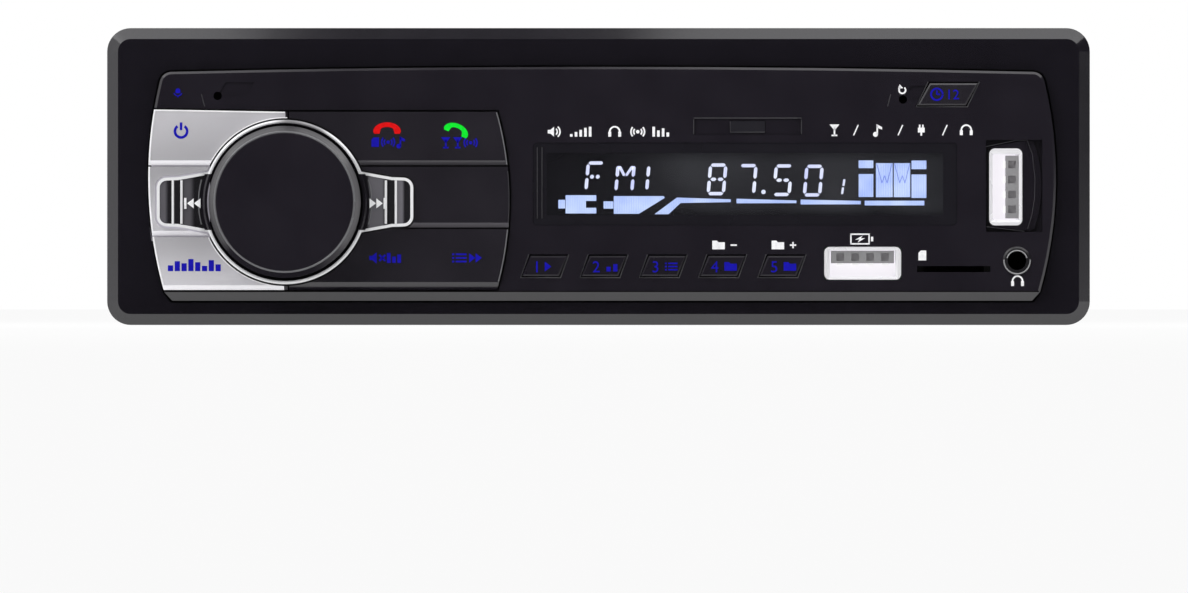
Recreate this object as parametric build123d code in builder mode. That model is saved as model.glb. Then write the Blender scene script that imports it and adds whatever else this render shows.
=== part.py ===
from build123d import *
import os
from math import cos, radians, sin

# Single-DIN digital media receiver for a car dashboard, with no disc drive.
#
# Frame: X to the right as seen from the front, the front faces -Y, Z up, in millimetres. The origin is
# on the surface the radio stands on, in the middle of its footprint.
# Places on the front are (u, v): right of and above the middle of the trim ring. Depths are "forward":
# towards the driver from the dashboard's face, so a negative one lies inside the dashboard.

# ---- driving dimensions ---------------------------------------------------------------------------------
# trim ring
RING_W = 188.0
RING_H = 56.8
RING_DEPTH = 7.0
RING_CORNER = 4.5
RING_BEVEL = 2.1
RING_WALL = 1.6
RING_GAP = 0.35          # round the nose

# dashboard sleeve and chassis: the standard single-DIN opening is 182 x 53
SLEEVE_W = 182.0
SLEEVE_H = 53.0
SLEEVE_WALL = 0.8
SLEEVE_LENGTH = 50.0
SLEEVE_LIP = 0.8
CHASSIS_W = 178.0
CHASSIS_H = 50.0
CHASSIS_DEPTH = 62.0
CHASSIS_FRONT = -2.5     # where the tray's front edge stops, behind the bezel's flange
SHEET = 1.0

# nose outline
NOSE_MID = 0.7           # the nose sits a little right of the ring's middle
NOSE_HALF = 86.75        # half width at the waist
NOSE_TOP_HALF = 84.1
NOSE_FOOT_HALF = 83.7
NOSE_LIP_HALF = 82.2
NOSE_WAIST = -1.2
NOSE_TOP = 19.95
NOSE_CROWN = 20.95       # the top edge arches this high in the middle
NOSE_FOOT = -22.1
NOSE_BOTTOM = -23.75
NOSE_CORNER = 2.3
NOSE_EDGE = 0.45
NOSE_WALL = 1.6

# depth stack of the nose
NOSE_FACE = 9.5
NOSE_SKIN = 1.8
FLOOR_FACE = 7.0         # floor of the sunken key field
FLOOR_BACK = 5.4
KEY_BACK = 7.8
KEY_FACE = 10.4
PLATE_FACE = 10.1
BOARD_FACE = 2.4
BOARD_THICK = 1.6
SWITCH_TOP = BOARD_FACE + 2.5
STEM_END = SWITCH_TOP + 0.8
KEY_GAP = 0.3

# key field round the knob
FIELD_TOP = 12.35
FIELD_TOP_LEFT = 12.95   # its top edge rises towards the left
FIELD_BOTTOM = -21.7
ROW_1 = 2.0              # seam below the upper keys
ROW_2 = -11.45           # seam below the silver plate
ROW_2_RIGHT = -9.9       # seam below the black plate
BOW_R = 62.0             # bowed right-hand end of the field
BOW_EDGE = -17.0
BOW_V = -4.6
COLUMN = -59.3           # seam between the silver and the black keys

# knob, rocker ring and encoder share one centre
KNOB_U = -59.9
KNOB_V = -4.9
KNOB_R = 14.5
KNOB_CAP_R = 13.3
KNOB_FACE = 20.5
KNOB_BACK = 9.7
SEEK_BORE = 14.9
SEEK_R = 15.7
SEEK_RIM = 13.0
SEEK_BACK = 8.0
SEEK_ARM_FACE = 11.9
SEEK_GAP = 0.35
SHAFT_R = 3.0
BUSH_R = 3.5
BUSH_TOP = 13.0
ENCODER_TOP = BOARD_FACE + 6.5

# display
LENS_W = 81.0
LENS_H = 15.7
LENS_AT = (28.0, -1.45)
LENS_THICK = 1.05
LENS_LEDGE = 1.5
LENS_PROUD = -0.15       # the lens lies just below the nose's face
PANEL_W = 80.0
PANEL_H = 17.4
PANEL_THICK = 2.4

# slanted keys
PRESET_COUNT = 5
PRESET_PITCH = 11.34
PRESET_FIRST = (-14.6, -19.05)   # lower left corner of the first
PRESET_W = 7.05
PRESET_H = 3.85
PRESET_SLANT = 1.6
CLOCK_AT = (61.0, 13.6)
CLOCK_W = 9.2
CLOCK_H = 4.2
CLOCK_SLANT = 2.35
SMALL_KEY_FACE = 9.9

# sockets and holes in the nose
USB_W = 13.3
USB_H = 5.7
USB_FLARE_W = 14.7
USB_FLARE_H = 6.3
USB_WALL = 0.35
USB_DEPTH = 13.5
USB_FACE = 9.35
CHARGE_AT = (50.5, -16.6)
SIDE_USB_AT = (77.85, -2.0)
BAY_W = 10.8             # opening the side port stands in
BAY_H = 17.6
BAY_AT = (79.45, -1.8)
CARD_AT = (67.9, -17.7)
CARD_W = 14.0
CARD_H = 1.15
JACK_AT = (80.0, -16.1)
JACK_BORE_R = 1.8
JACK_BUSH_R = 2.7
MIC_AT = (-72.8, 15.4)
RESET_AT = (58.2, 14.7)
PINHOLE_R = 0.8
WINDOW_AT = (28.5, 9.5)
SLOT_W = 20.4
SLOT_H = 3.1
WINDOW_W = 6.7
WINDOW_H = 2.2

# rear, where places are still (u, v) as seen from the front
STUD_R = 2.5
STUD_REACH = 15.0
STUD_AT = (-20.0, 14.0)
ANTENNA_AT = (73.0, -6.5)
ANTENNA_R = 4.6
ANTENNA_TUBE_R = 6.3
LINE_OUT_R = 4.15
LINE_OUT_BORE_R = 1.65
LINE_OUT_AT = ((39.5, -9.0), (51.5, -9.0))
LINE_OUT_BOSS_AT = (45.5, -9.0)
LINE_OUT_BOSS_W = 21.0   # step of their housing that fills its opening in the rear panel
LINE_OUT_BOSS_H = 9.4
BLOCK_U = 12.0
BLOCK_W = 38.0
BLOCK_H = 26.0
SINK_U = -62.0
SINK_W = 48.0
SINK_H = 38.0
REAR_FACE = -CHASSIS_DEPTH
SOCKET_END = REAR_FACE - 11.0    # how far the rear sockets stand out
MAIN_BOARD_V = -19.4             # underside of the main board
MAIN_BOARD_TOP = MAIN_BOARD_V + BOARD_THICK
MAIN_BOARD_FRONT = -8.0
MAIN_BOARD_REAR = REAR_FACE + 2.0

DASH_Y = (KNOB_FACE - CHASSIS_DEPTH - STUD_REACH) / 2
MID_Z = RING_H / 2

os.makedirs("parts", exist_ok=True)


# ---- planes and small helpers ---------------------------------------------------------------------------
def facing(forward, u=0.0, v=0.0, turn=0.0):
    """Plane that looks at the driver, with its origin at (u, v)."""
    across = (cos(radians(turn)), 0, sin(radians(turn)))
    return Plane(origin=(u, DASH_Y - forward, MID_Z + v), x_dir=across, z_dir=(0, -1, 0))


def section(u, v):
    """Plane through a front-to-back axis at (u, v): x is the radius, y is forward."""
    return Plane(origin=(u, DASH_Y, MID_Z + v), x_dir=(1, 0, 0), z_dir=(0, 0, -1))


def axis_at(u, v):
    return Axis((u, DASH_Y, MID_Z + v), (0, -1, 0))


def level(v):
    """Horizontal plane at height v: x is u, y is back into the dashboard."""
    return Plane(origin=(0, DASH_Y, MID_Z + v))


def slanted(width, height, slant):
    """Corners of a key that leans to the right, from its lower left corner."""
    return (0, 0), (width, 0), (width + slant, height), (slant, height)


def small_round(radius, mode=Mode.ADD):
    """A small round section as sixteen flats, which keeps what repeats light."""
    RegularPolygon(radius, 16, mode=mode)


def save(builder, name):
    builder.part.label = name
    export_step(builder.part, f"parts/{name}.step")


# ---- shared outlines ------------------------------------------------------------------------------------
def nose_shape(grow):
    """The nose's outline, grown outwards on every side."""
    half_top = NOSE_TOP_HALF + grow
    half_foot = NOSE_FOOT_HALF + grow
    half_lip = NOSE_LIP_HALF + grow
    top_v = NOSE_TOP + grow
    bottom_v = NOSE_BOTTOM - grow
    with BuildSketch() as shape:
        with BuildLine():
            top = ThreePointArc(
                (NOSE_MID - half_top, top_v), (NOSE_MID, NOSE_CROWN + grow), (NOSE_MID + half_top, top_v)
            )
            right = ThreePointArc(
                top @ 1, (NOSE_MID + NOSE_HALF + grow, NOSE_WAIST), (NOSE_MID + half_foot, NOSE_FOOT)
            )
            foot = Polyline(
                right @ 1,
                (NOSE_MID + half_lip, bottom_v),
                (NOSE_MID - half_lip, bottom_v),
                (NOSE_MID - half_foot, NOSE_FOOT),
            )
            ThreePointArc(foot @ 1, (NOSE_MID - NOSE_HALF - grow, NOSE_WAIST), top @ 0)
        make_face()
        fillet(vertices().group_by(Axis.Y)[-1], max(NOSE_CORNER + grow, 0.5))
    return shape.sketch


nose_outline = nose_shape(0)


def field_shape(grow):
    """The key field: a top edge that rises to the left, a bowed right end and the nose's own left end."""
    with BuildSketch() as shape:
        with BuildLine():
            Polyline(
                (-RING_W / 2, FIELD_TOP_LEFT + grow),
                (COLUMN, FIELD_TOP + grow),
                (0, FIELD_TOP + grow),
                (0, FIELD_BOTTOM - grow),
                (-RING_W / 2, FIELD_BOTTOM - grow),
                close=True,
            )
        make_face()
        with Locations((BOW_EDGE - BOW_R, BOW_V)):
            Circle(BOW_R + grow, mode=Mode.INTERSECT)
    return shape.sketch


ARM_ROOT = (SEEK_R - 1.6, 5.9)
ARM_WAIST = (17.6, 5.25)
ARM_NECK = (20.4, 4.75)
ARM_REACH = 24.5
ARM_HALF = 4.6
ARM_CORNER = 1.9


def seek_shape(grow):
    """The rocker ring's outline with its two arms, about its own centre."""
    with BuildSketch() as shape:
        with BuildLine():
            Polyline(
                (0, 0),
                (0, ARM_ROOT[1] + grow),
                (ARM_ROOT[0], ARM_ROOT[1] + grow),
                (ARM_WAIST[0], ARM_WAIST[1] + grow),
                (ARM_NECK[0], ARM_NECK[1] + grow),
                (ARM_REACH + grow, ARM_HALF + grow),
                (ARM_REACH + grow, 0),
                close=True,
            )
        make_face()
        fillet(vertices().group_by(Axis.X)[-1].sort_by(Axis.Y)[-1], ARM_CORNER + grow)
        mirror(about=Plane.XZ)
        mirror(about=Plane.YZ)
        Circle(SEEK_R + grow)
    return shape.sketch


# ---- trim ring ------------------------------------------------------------------------------------------
RIB_COUNT = 7
RIB_THICK = 1.2
LIP_ROOM = 0.3
ring_opening = nose_shape(RING_GAP)
ring_inner_wall = nose_shape(RING_GAP + RING_WALL)
with BuildPart() as trim_ring:
    with BuildSketch(facing(0)):
        RectangleRounded(RING_W, RING_H, RING_CORNER)
    extrude(amount=RING_DEPTH)
    chamfer(faces().sort_by(Axis.Y)[0].edges(), RING_BEVEL)
    with BuildSketch(facing(0)):
        add(ring_opening)
    extrude(amount=RING_DEPTH, mode=Mode.SUBTRACT)
    # channel in the back, with ribs across it
    with BuildSketch(facing(0)):
        RectangleRounded(RING_W - 2 * RING_WALL, RING_H - 2 * RING_WALL, RING_CORNER - RING_WALL)
        add(ring_inner_wall, mode=Mode.SUBTRACT)
        with GridLocations(RING_W / RIB_COUNT, 0, RIB_COUNT, 1):
            Rectangle(RIB_THICK, RING_H, mode=Mode.SUBTRACT)
    extrude(amount=RING_DEPTH - RING_BEVEL - RING_WALL, mode=Mode.SUBTRACT)
    # rebate that covers the sleeve's lip
    with BuildSketch(facing(0)):
        lip = 2 * (SLEEVE_LIP + LIP_ROOM)
        Rectangle(SLEEVE_W + lip, SLEEVE_H + lip)
        Rectangle(CHASSIS_W, CHASSIS_H + 1, mode=Mode.SUBTRACT)
    extrude(amount=SLEEVE_WALL, mode=Mode.SUBTRACT)
save(trim_ring, "trim_ring")


# ---- front bezel: the nose, its openings and its flange -------------------------------------------------
FLANGE = -CHASSIS_FRONT
BOSS_R = 1.9
BOSS_HOLE_R = 0.9
BOARD_SCREWS = ((-60, 16.8), (30, 16.8), (-18.7, -19.3), (70.6, -12.7))
POWER_STEM = (-76.0, 7.4)
SOUND_STEM = (-76.0, -17.0)
CALL_STEMS = ((-43.0, 7.4), (-25.0, 7.4))
FUNCTION_STEMS = ((-43.0, -17.0), (-25.0, -17.0))
SEEK_STEMS = ((KNOB_U - 20.0, KNOB_V), (KNOB_U + 20.0, KNOB_V))
FIELD_STEMS = (POWER_STEM, SOUND_STEM, *CALL_STEMS, *FUNCTION_STEMS, *SEEK_STEMS)
STEM = 2.4
STEM_ROOM = 0.4
PRESET_AT = [(PRESET_FIRST[0] + i * PRESET_PITCH, PRESET_FIRST[1]) for i in range(PRESET_COUNT)]
TONGUE_W = 10.0
TONGUE_REACH = 6.5
TONGUE_THICK = 1.5
TONGUE_U = 60.0
GROOVE = 0.25
PIN_POCKET_W = 5.5
PIN_POCKET_H = 2.6
PIN_POCKET_SLANT = 1.5

nose_cavity = nose_shape(-NOSE_WALL)
field_floor = field_shape(1.6)
field_pocket = field_shape(SEEK_GAP)
with BuildPart() as front_bezel:
    with BuildSketch(facing(CHASSIS_FRONT)):
        RectangleRounded(CHASSIS_W, CHASSIS_H, 1.5)
    extrude(amount=FLANGE)
    with BuildSketch(facing(0)):
        add(nose_outline)
    extrude(amount=NOSE_FACE)
    # sloping lower lip, and a fine bevel along the top and the ends
    rim = faces().sort_by(Axis.Y)[0].edges()
    chamfer(rim.sort_by(Axis.Z)[0], NOSE_FOOT - NOSE_BOTTOM)
    rim = faces().sort_by(Axis.Y)[0].edges()
    chamfer(rim.filter_by(GeomType.CIRCLE), NOSE_EDGE)
    # hollow back
    with BuildSketch(facing(CHASSIS_FRONT)):
        add(nose_cavity)
    extrude(amount=FLANGE + NOSE_FACE - NOSE_SKIN, mode=Mode.SUBTRACT)
    # floor of the key field, with the field sunk into it
    with BuildSketch(facing(FLOOR_BACK)):
        add(field_floor)
        add(nose_cavity, mode=Mode.INTERSECT)
    extrude(amount=NOSE_FACE - NOSE_SKIN - FLOOR_BACK)
    # bosses for the circuit board
    with BuildSketch(facing(BOARD_FACE)):
        with Locations(*BOARD_SCREWS):
            small_round(BOSS_R)
    extrude(amount=NOSE_FACE - NOSE_SKIN - BOARD_FACE)
    with BuildSketch(facing(BOARD_FACE)):
        with Locations(*BOARD_SCREWS):
            small_round(BOSS_HOLE_R)
    extrude(amount=FLOOR_BACK - BOARD_FACE, mode=Mode.SUBTRACT)
    with BuildSketch(facing(FLOOR_FACE)):
        add(field_pocket)
    extrude(amount=RING_DEPTH, mode=Mode.SUBTRACT)
    # groove above the lip
    with BuildSketch(facing(NOSE_FACE)):
        with Locations((NOSE_MID, NOSE_FOOT + GROOVE / 2)):
            Rectangle(2 * NOSE_HALF, GROOVE)
    extrude(amount=-GROOVE, mode=Mode.SUBTRACT)
    # holes in the floor: encoder and key stems
    with BuildSketch(facing(FLOOR_BACK)):
        with Locations((KNOB_U, KNOB_V)):
            Circle(9.0)
        with Locations(*FIELD_STEMS):
            Rectangle(STEM + 2 * STEM_ROOM, STEM + 2 * STEM_ROOM)
    extrude(amount=FLOOR_FACE - FLOOR_BACK, mode=Mode.SUBTRACT)
    # display window with the ledge the lens lies on
    with BuildSketch(facing(0)):
        with Locations(LENS_AT):
            Rectangle(LENS_W - 2 * LENS_LEDGE, LENS_H - 2 * LENS_LEDGE)
    extrude(amount=NOSE_FACE, mode=Mode.SUBTRACT)
    with BuildSketch(facing(NOSE_FACE)):
        with Locations(LENS_AT):
            RectangleRounded(LENS_W + 0.1, LENS_H + 0.1, 0.8)
    extrude(amount=LENS_PROUD - LENS_THICK, mode=Mode.SUBTRACT)
    # slanted key holes
    with BuildSketch(facing(0)):
        with Locations(*PRESET_AT):
            Polygon(*slanted(PRESET_W, PRESET_H, PRESET_SLANT), align=None)
        with Locations(CLOCK_AT):
            Polygon(*slanted(CLOCK_W, CLOCK_H, CLOCK_SLANT), align=None)
        offset(amount=KEY_GAP, kind=Kind.INTERSECTION)
    extrude(amount=NOSE_FACE, mode=Mode.SUBTRACT)
    # sockets: charging port, bay of the side port, card slot, audio socket
    with BuildSketch(facing(0)):
        with Locations(CHARGE_AT):
            RectangleRounded(USB_FLARE_W + 0.2, USB_FLARE_H + 0.2, 0.7)
        with Locations(BAY_AT):
            Rectangle(BAY_W, BAY_H)
        with Locations(CARD_AT):
            Rectangle(CARD_W, CARD_H)
        with Locations(JACK_AT):
            Circle(JACK_BUSH_R + 0.02)
    extrude(amount=NOSE_FACE, mode=Mode.SUBTRACT)
    # pinholes of the microphone and the reset switch, in shallow slanted pockets
    with BuildSketch(facing(NOSE_FACE)):
        with Locations(MIC_AT, RESET_AT):
            Polygon(*slanted(PIN_POCKET_W, PIN_POCKET_H, PIN_POCKET_SLANT))
    extrude(amount=-0.3, mode=Mode.SUBTRACT)
    with BuildSketch(facing(0)):
        with Locations(MIC_AT, RESET_AT):
            small_round(PINHOLE_R)
    extrude(amount=NOSE_FACE, mode=Mode.SUBTRACT)
    # shallow slot above the display, with the remote-control window in it
    with BuildSketch(facing(NOSE_FACE)):
        with Locations(WINDOW_AT):
            Rectangle(SLOT_W, SLOT_H)
    extrude(amount=-0.35, mode=Mode.SUBTRACT)
    with BuildSketch(facing(0)):
        with Locations(WINDOW_AT):
            Rectangle(WINDOW_W, WINDOW_H)
    extrude(amount=NOSE_FACE, mode=Mode.SUBTRACT)
    # tongues that reach into the chassis
    with BuildSketch(facing(CHASSIS_FRONT - TONGUE_REACH)):
        with GridLocations(2 * TONGUE_U, CHASSIS_H - 2 * SHEET - TONGUE_THICK, 2, 2):
            Rectangle(TONGUE_W, TONGUE_THICK)
    extrude(amount=TONGUE_REACH)
save(front_bezel, "front_bezel")


# ---- display --------------------------------------------------------------------------------------------
SKIN_BACK = NOSE_FACE - NOSE_SKIN
PANEL_BACK = SKIN_BACK - PANEL_THICK
with BuildPart() as display_lens:
    with BuildSketch(facing(NOSE_FACE + LENS_PROUD - LENS_THICK)):
        with Locations(LENS_AT):
            RectangleRounded(LENS_W, LENS_H, 0.8)
    extrude(amount=LENS_THICK)
save(display_lens, "display_lens")

# glass cell: a rear plate and a shorter front plate, so its contacts stay bare along the lower edge
CONTACT_EDGE = 1.8
with BuildPart() as lcd_panel:
    with BuildSketch(facing(PANEL_BACK)):
        with Locations(LENS_AT):
            Rectangle(PANEL_W, PANEL_H)
    extrude(amount=PANEL_THICK / 2)
    with BuildSketch(facing(PANEL_BACK + PANEL_THICK / 2)):
        with Locations((LENS_AT[0], LENS_AT[1] + CONTACT_EDGE / 2)):
            Rectangle(PANEL_W, PANEL_H - CONTACT_EDGE)
    extrude(amount=PANEL_THICK / 2)
save(lcd_panel, "lcd_panel")

# wedge that spreads the backlight, with a lamp pocket at each end
LAMP_POCKET = 3.0
with BuildPart() as backlight_guide:
    with BuildSketch(facing(BOARD_FACE)):
        with Locations(LENS_AT):
            Rectangle(PANEL_W, PANEL_H)
    extrude(amount=PANEL_BACK - BOARD_FACE)
    with BuildSketch(facing(BOARD_FACE)):
        with Locations(LENS_AT):
            with GridLocations(PANEL_W - LAMP_POCKET, 0, 2, 1):
                Rectangle(LAMP_POCKET, LAMP_POCKET * 2)
    extrude(amount=1.6, mode=Mode.SUBTRACT)
save(backlight_guide, "backlight_guide")

with BuildPart() as remote_window:
    with BuildSketch(facing(SKIN_BACK - 0.6)):
        with Locations(WINDOW_AT):
            Rectangle(WINDOW_W + 2, WINDOW_H + 2)
    extrude(amount=0.6)
    with BuildSketch(facing(SKIN_BACK)):
        with Locations(WINDOW_AT):
            Rectangle(WINDOW_W - 0.1, WINDOW_H - 0.1)
    extrude(amount=NOSE_SKIN - 0.15)
save(remote_window, "remote_window")


# ---- keys and plates of the sunken field ----------------------------------------------------------------
key_area = field_shape(0)
seek_clearance = seek_shape(SEEK_GAP)
SEAM = KEY_GAP / 2
KEY_BEVEL = 0.9
DEEP_BEVEL = 1.5
FAR = 100.0
PAD_BACK = FLOOR_FACE + 0.05
PAD_W = 1.2
ROCK_U = -34.0           # where the two wide keys rock


def field_strip(left, right, bottom, top):
    """The part of the key field between two seams, clear of the rocker ring."""
    with BuildSketch() as strip:
        add(key_area)
        add(nose_outline, mode=Mode.INTERSECT)
        with Locations(((left + right) / 2, (bottom + top) / 2)):
            Rectangle(right - left, top - bottom, mode=Mode.INTERSECT)
        with Locations((KNOB_U, KNOB_V)):
            add(seek_clearance, mode=Mode.SUBTRACT)
    return strip.sketch


def field_key(outline, stems, bevel):
    """A key of the field, with a stem for each switch and, if it has two, a pad to rock on."""
    with BuildPart() as key:
        with BuildSketch(facing(KEY_BACK)):
            add(outline)
        extrude(amount=KEY_FACE - KEY_BACK)
        lower_edge = edges().group_by(Axis.Y)[0].sort_by(Axis.Z)[0]
        chamfer(lower_edge, bevel)
        with BuildSketch(facing(STEM_END)):
            with Locations(*stems):
                Rectangle(STEM, STEM)
        extrude(amount=KEY_BACK - STEM_END)
        if len(stems) > 1:
            with BuildSketch(facing(PAD_BACK)):
                with Locations((ROCK_U, stems[0][1])):
                    Rectangle(PAD_W, 6.0)
            extrude(amount=KEY_BACK - PAD_BACK)
    return key


power_outline = field_strip(-FAR, COLUMN - SEAM, ROW_1 + SEAM, FAR)
power_key = field_key(power_outline, [POWER_STEM], KEY_BEVEL)
save(power_key, "power_key")

sound_outline = field_strip(-FAR, COLUMN - SEAM, -FAR, ROW_2 - SEAM)
sound_key = field_key(sound_outline, [SOUND_STEM], KEY_BEVEL)
save(sound_key, "sound_key")

call_outline = field_strip(COLUMN + SEAM, 0, ROW_1 + SEAM, FAR)
call_key = field_key(call_outline, CALL_STEMS, KEY_BEVEL)
save(call_key, "call_key")

function_outline = field_strip(COLUMN + SEAM, 0, -FAR, ROW_2_RIGHT - SEAM)
function_key = field_key(function_outline, FUNCTION_STEMS, DEEP_BEVEL)
save(function_key, "function_key")


def field_plate(outline, bevel):
    """A fixed plate between the key rows, which stands on the field's floor."""
    with BuildPart() as plate:
        with BuildSketch(facing(FLOOR_FACE)):
            add(outline)
        extrude(amount=PLATE_FACE - FLOOR_FACE)
        lower_edge = edges().group_by(Axis.Y)[0].sort_by(Axis.Z)[0]
        chamfer(lower_edge, bevel)
    return plate


left_plate = field_plate(field_strip(-FAR, KNOB_U, ROW_2 + SEAM, ROW_1 - SEAM), KEY_BEVEL)
save(left_plate, "left_plate")

right_plate = field_plate(field_strip(KNOB_U, 0, ROW_2_RIGHT + SEAM, ROW_1 - SEAM), KEY_BEVEL)
save(right_plate, "right_plate")


# ---- rocker ring ----------------------------------------------------------------------------------------
seek_outline = seek_shape(0)
ARM_FRAME = 0.55         # chrome border of each arm
INLAY_DEPTH = 1.2
INLAY_RIDGE_U = 20.65    # an upright ridge divides each inlay
INLAY_RIDGE_W = 1.5
RIM_SLOPE = 0.35

# the field inside an arm's border, from the ring out to the arm's end
with BuildSketch() as inlay_outline:
    add(seek_shape(-ARM_FRAME))
    Circle(SEEK_R + 0.5, mode=Mode.SUBTRACT)

with BuildPart() as seek_ring:
    with BuildSketch(facing(SEEK_BACK, KNOB_U, KNOB_V)):
        add(seek_outline)
    extrude(amount=SEEK_ARM_FACE - SEEK_BACK)
    with BuildSketch(facing(SEEK_BACK, KNOB_U, KNOB_V)):
        Circle(SEEK_R)
    extrude(amount=SEEK_RIM - SEEK_BACK)
    chamfer(faces().sort_by(Axis.Y)[0].edges(), RIM_SLOPE)
    with BuildSketch(facing(SEEK_BACK, KNOB_U, KNOB_V)):
        Circle(SEEK_BORE)
    extrude(amount=SEEK_RIM - SEEK_BACK, mode=Mode.SUBTRACT)
    with BuildSketch(facing(SEEK_ARM_FACE, KNOB_U, KNOB_V)):
        add(inlay_outline.sketch)
    extrude(amount=-INLAY_DEPTH, mode=Mode.SUBTRACT)
    with BuildSketch(facing(STEM_END, KNOB_U, KNOB_V)):
        with GridLocations(SEEK_STEMS[1][0] - SEEK_STEMS[0][0], 0, 2, 1):
            Rectangle(STEM, STEM)
    extrude(amount=SEEK_BACK - STEM_END)
    # pads above and below the knob, on which the ring rocks
    with BuildSketch(facing(PAD_BACK, KNOB_U, KNOB_V)):
        with GridLocations(0, SEEK_BORE + SEEK_R, 1, 2):
            Rectangle(PAD_W, 0.8)
    extrude(amount=SEEK_BACK - PAD_BACK)
save(seek_ring, "seek_ring")

with BuildPart() as seek_inlays:
    with BuildSketch(facing(SEEK_ARM_FACE - INLAY_DEPTH, KNOB_U, KNOB_V)):
        add(inlay_outline.sketch)
    extrude(amount=INLAY_DEPTH - 0.35)
    with BuildSketch(facing(SEEK_ARM_FACE - 0.35, KNOB_U, KNOB_V)):
        with GridLocations(2 * INLAY_RIDGE_U, 0, 2, 1):
            Rectangle(INLAY_RIDGE_W, 2 * ARM_HALF)
        add(inlay_outline.sketch, mode=Mode.INTERSECT)
    extrude(amount=0.35)
save(seek_inlays, "seek_inlays")


# ---- knob and encoder -----------------------------------------------------------------------------------
KNOB_EDGE = 1.35         # bevel round the face
CAP_THICK = 1.0
KNOB_SKIN = 1.6
KNOB_BOSS_R = 5.4
KNOB_BOSS_BACK = BUSH_TOP + 0.9
SHAFT_FIT = 0.03
BUSH_FIT = 0.05
SHAFT_TOP = 18.0
FLAT_DEPTH = 1.5         # the flat of the D-shaped shaft

KNOB_AXIS = axis_at(KNOB_U, KNOB_V)
with BuildPart() as knob_skirt:
    with BuildSketch(section(KNOB_U, KNOB_V)):
        with BuildLine():
            Polyline(
                (0, KNOB_FACE - CAP_THICK),
                (KNOB_CAP_R, KNOB_FACE - CAP_THICK),
                (KNOB_CAP_R, KNOB_FACE - 0.15),
                (KNOB_R, KNOB_FACE - KNOB_EDGE),
                (KNOB_R, KNOB_BACK),
                (KNOB_R - KNOB_SKIN, KNOB_BACK),
                (KNOB_R - KNOB_SKIN, KNOB_FACE - CAP_THICK - KNOB_SKIN),
                (KNOB_BOSS_R, KNOB_FACE - CAP_THICK - KNOB_SKIN),
                (KNOB_BOSS_R, KNOB_BOSS_BACK),
                (0, KNOB_BOSS_BACK),
                close=True,
            )
        make_face()
    revolve(axis=KNOB_AXIS)
    with BuildSketch(facing(KNOB_BOSS_BACK, KNOB_U, KNOB_V)):
        Circle(SHAFT_R + SHAFT_FIT)
        with Locations((0, SHAFT_R + SHAFT_FIT)):
            Rectangle(2 * SHAFT_R, 2 * FLAT_DEPTH, mode=Mode.SUBTRACT)
    extrude(amount=SHAFT_TOP + 0.1 - KNOB_BOSS_BACK, mode=Mode.SUBTRACT)
    # stiffening webs between the boss and the wall
    with BuildSketch(facing(KNOB_FACE - CAP_THICK - KNOB_SKIN, KNOB_U, KNOB_V)):
        with PolarLocations((KNOB_R - KNOB_SKIN + KNOB_BOSS_R) / 2, 6):
            Rectangle(KNOB_R - KNOB_SKIN - KNOB_BOSS_R + 0.4, 0.9)
    extrude(amount=-2.5)
save(knob_skirt, "knob_skirt")

with BuildPart() as knob_cap:
    with BuildSketch(facing(KNOB_FACE - CAP_THICK, KNOB_U, KNOB_V)):
        Circle(KNOB_CAP_R)
    extrude(amount=CAP_THICK)
    chamfer(edges().group_by(Axis.Y)[0], 0.2)
save(knob_cap, "knob_cap")

ROTOR_R = 3.9
ROTOR_BACK = 6.6
ROTOR_FACE = 7.4
SHAFT_BACK = 6.3
with BuildPart() as encoder_shaft:
    with BuildSketch(section(KNOB_U, KNOB_V)):
        with BuildLine():
            Polyline(
                (0, SHAFT_BACK),
                (2, SHAFT_BACK),
                (2, ROTOR_BACK),
                (ROTOR_R, ROTOR_BACK),
                (ROTOR_R, ROTOR_FACE),
                (SHAFT_R - 0.4, ROTOR_FACE),
                (SHAFT_R - 0.4, BUSH_TOP + 0.6),
                (SHAFT_R, BUSH_TOP + 0.6),
                (SHAFT_R, SHAFT_TOP),
                (0, SHAFT_TOP),
                close=True,
            )
        make_face()
    revolve(axis=KNOB_AXIS)
    with BuildSketch(facing(KNOB_BOSS_BACK - 0.3, KNOB_U, KNOB_V)):
        with Locations((0, SHAFT_R)):
            Rectangle(2 * SHAFT_R, 2 * FLAT_DEPTH)
    extrude(amount=SHAFT_TOP, mode=Mode.SUBTRACT)
save(encoder_shaft, "encoder_shaft")

with BuildPart() as encoder_plunger:
    with BuildSketch(facing(5.0, KNOB_U, KNOB_V)):
        Circle(2.0)
    extrude(amount=SHAFT_BACK - 5.0 - 0.05)
    with BuildSketch(facing(4.6, KNOB_U, KNOB_V)):
        Circle(3.2)
    extrude(amount=0.5)
save(encoder_plunger, "encoder_plunger")

ENCODER_SIZE = 12.0
with BuildPart() as encoder_body:
    with BuildSketch(facing(BOARD_FACE, KNOB_U, KNOB_V)):
        Rectangle(ENCODER_SIZE, ENCODER_SIZE)
    extrude(amount=ENCODER_TOP - BOARD_FACE)
    chamfer(edges().filter_by(Axis.Y), 1.2)
    with BuildSketch(facing(ENCODER_TOP, KNOB_U, KNOB_V)):
        Circle(BUSH_R)
    extrude(amount=BUSH_TOP - ENCODER_TOP)
    chamfer(edges().group_by(Axis.Y)[0], 0.4)
    with BuildSketch(facing(BOARD_FACE + 1.2, KNOB_U, KNOB_V)):
        Circle(ROTOR_R + 0.3)
    extrude(amount=ENCODER_TOP - BOARD_FACE - 2.0, mode=Mode.SUBTRACT)
    with BuildSketch(facing(BOARD_FACE + 1.2, KNOB_U, KNOB_V)):
        Circle(SHAFT_R - 0.4 + BUSH_FIT)
    extrude(amount=BUSH_TOP, mode=Mode.SUBTRACT)
save(encoder_body, "encoder_body")


# ---- slanted keys ---------------------------------------------------------------------------------------
KEY_GUARD = 0.7          # flange that stops the key behind the nose's skin
GUARD_THICK = 0.7


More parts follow.
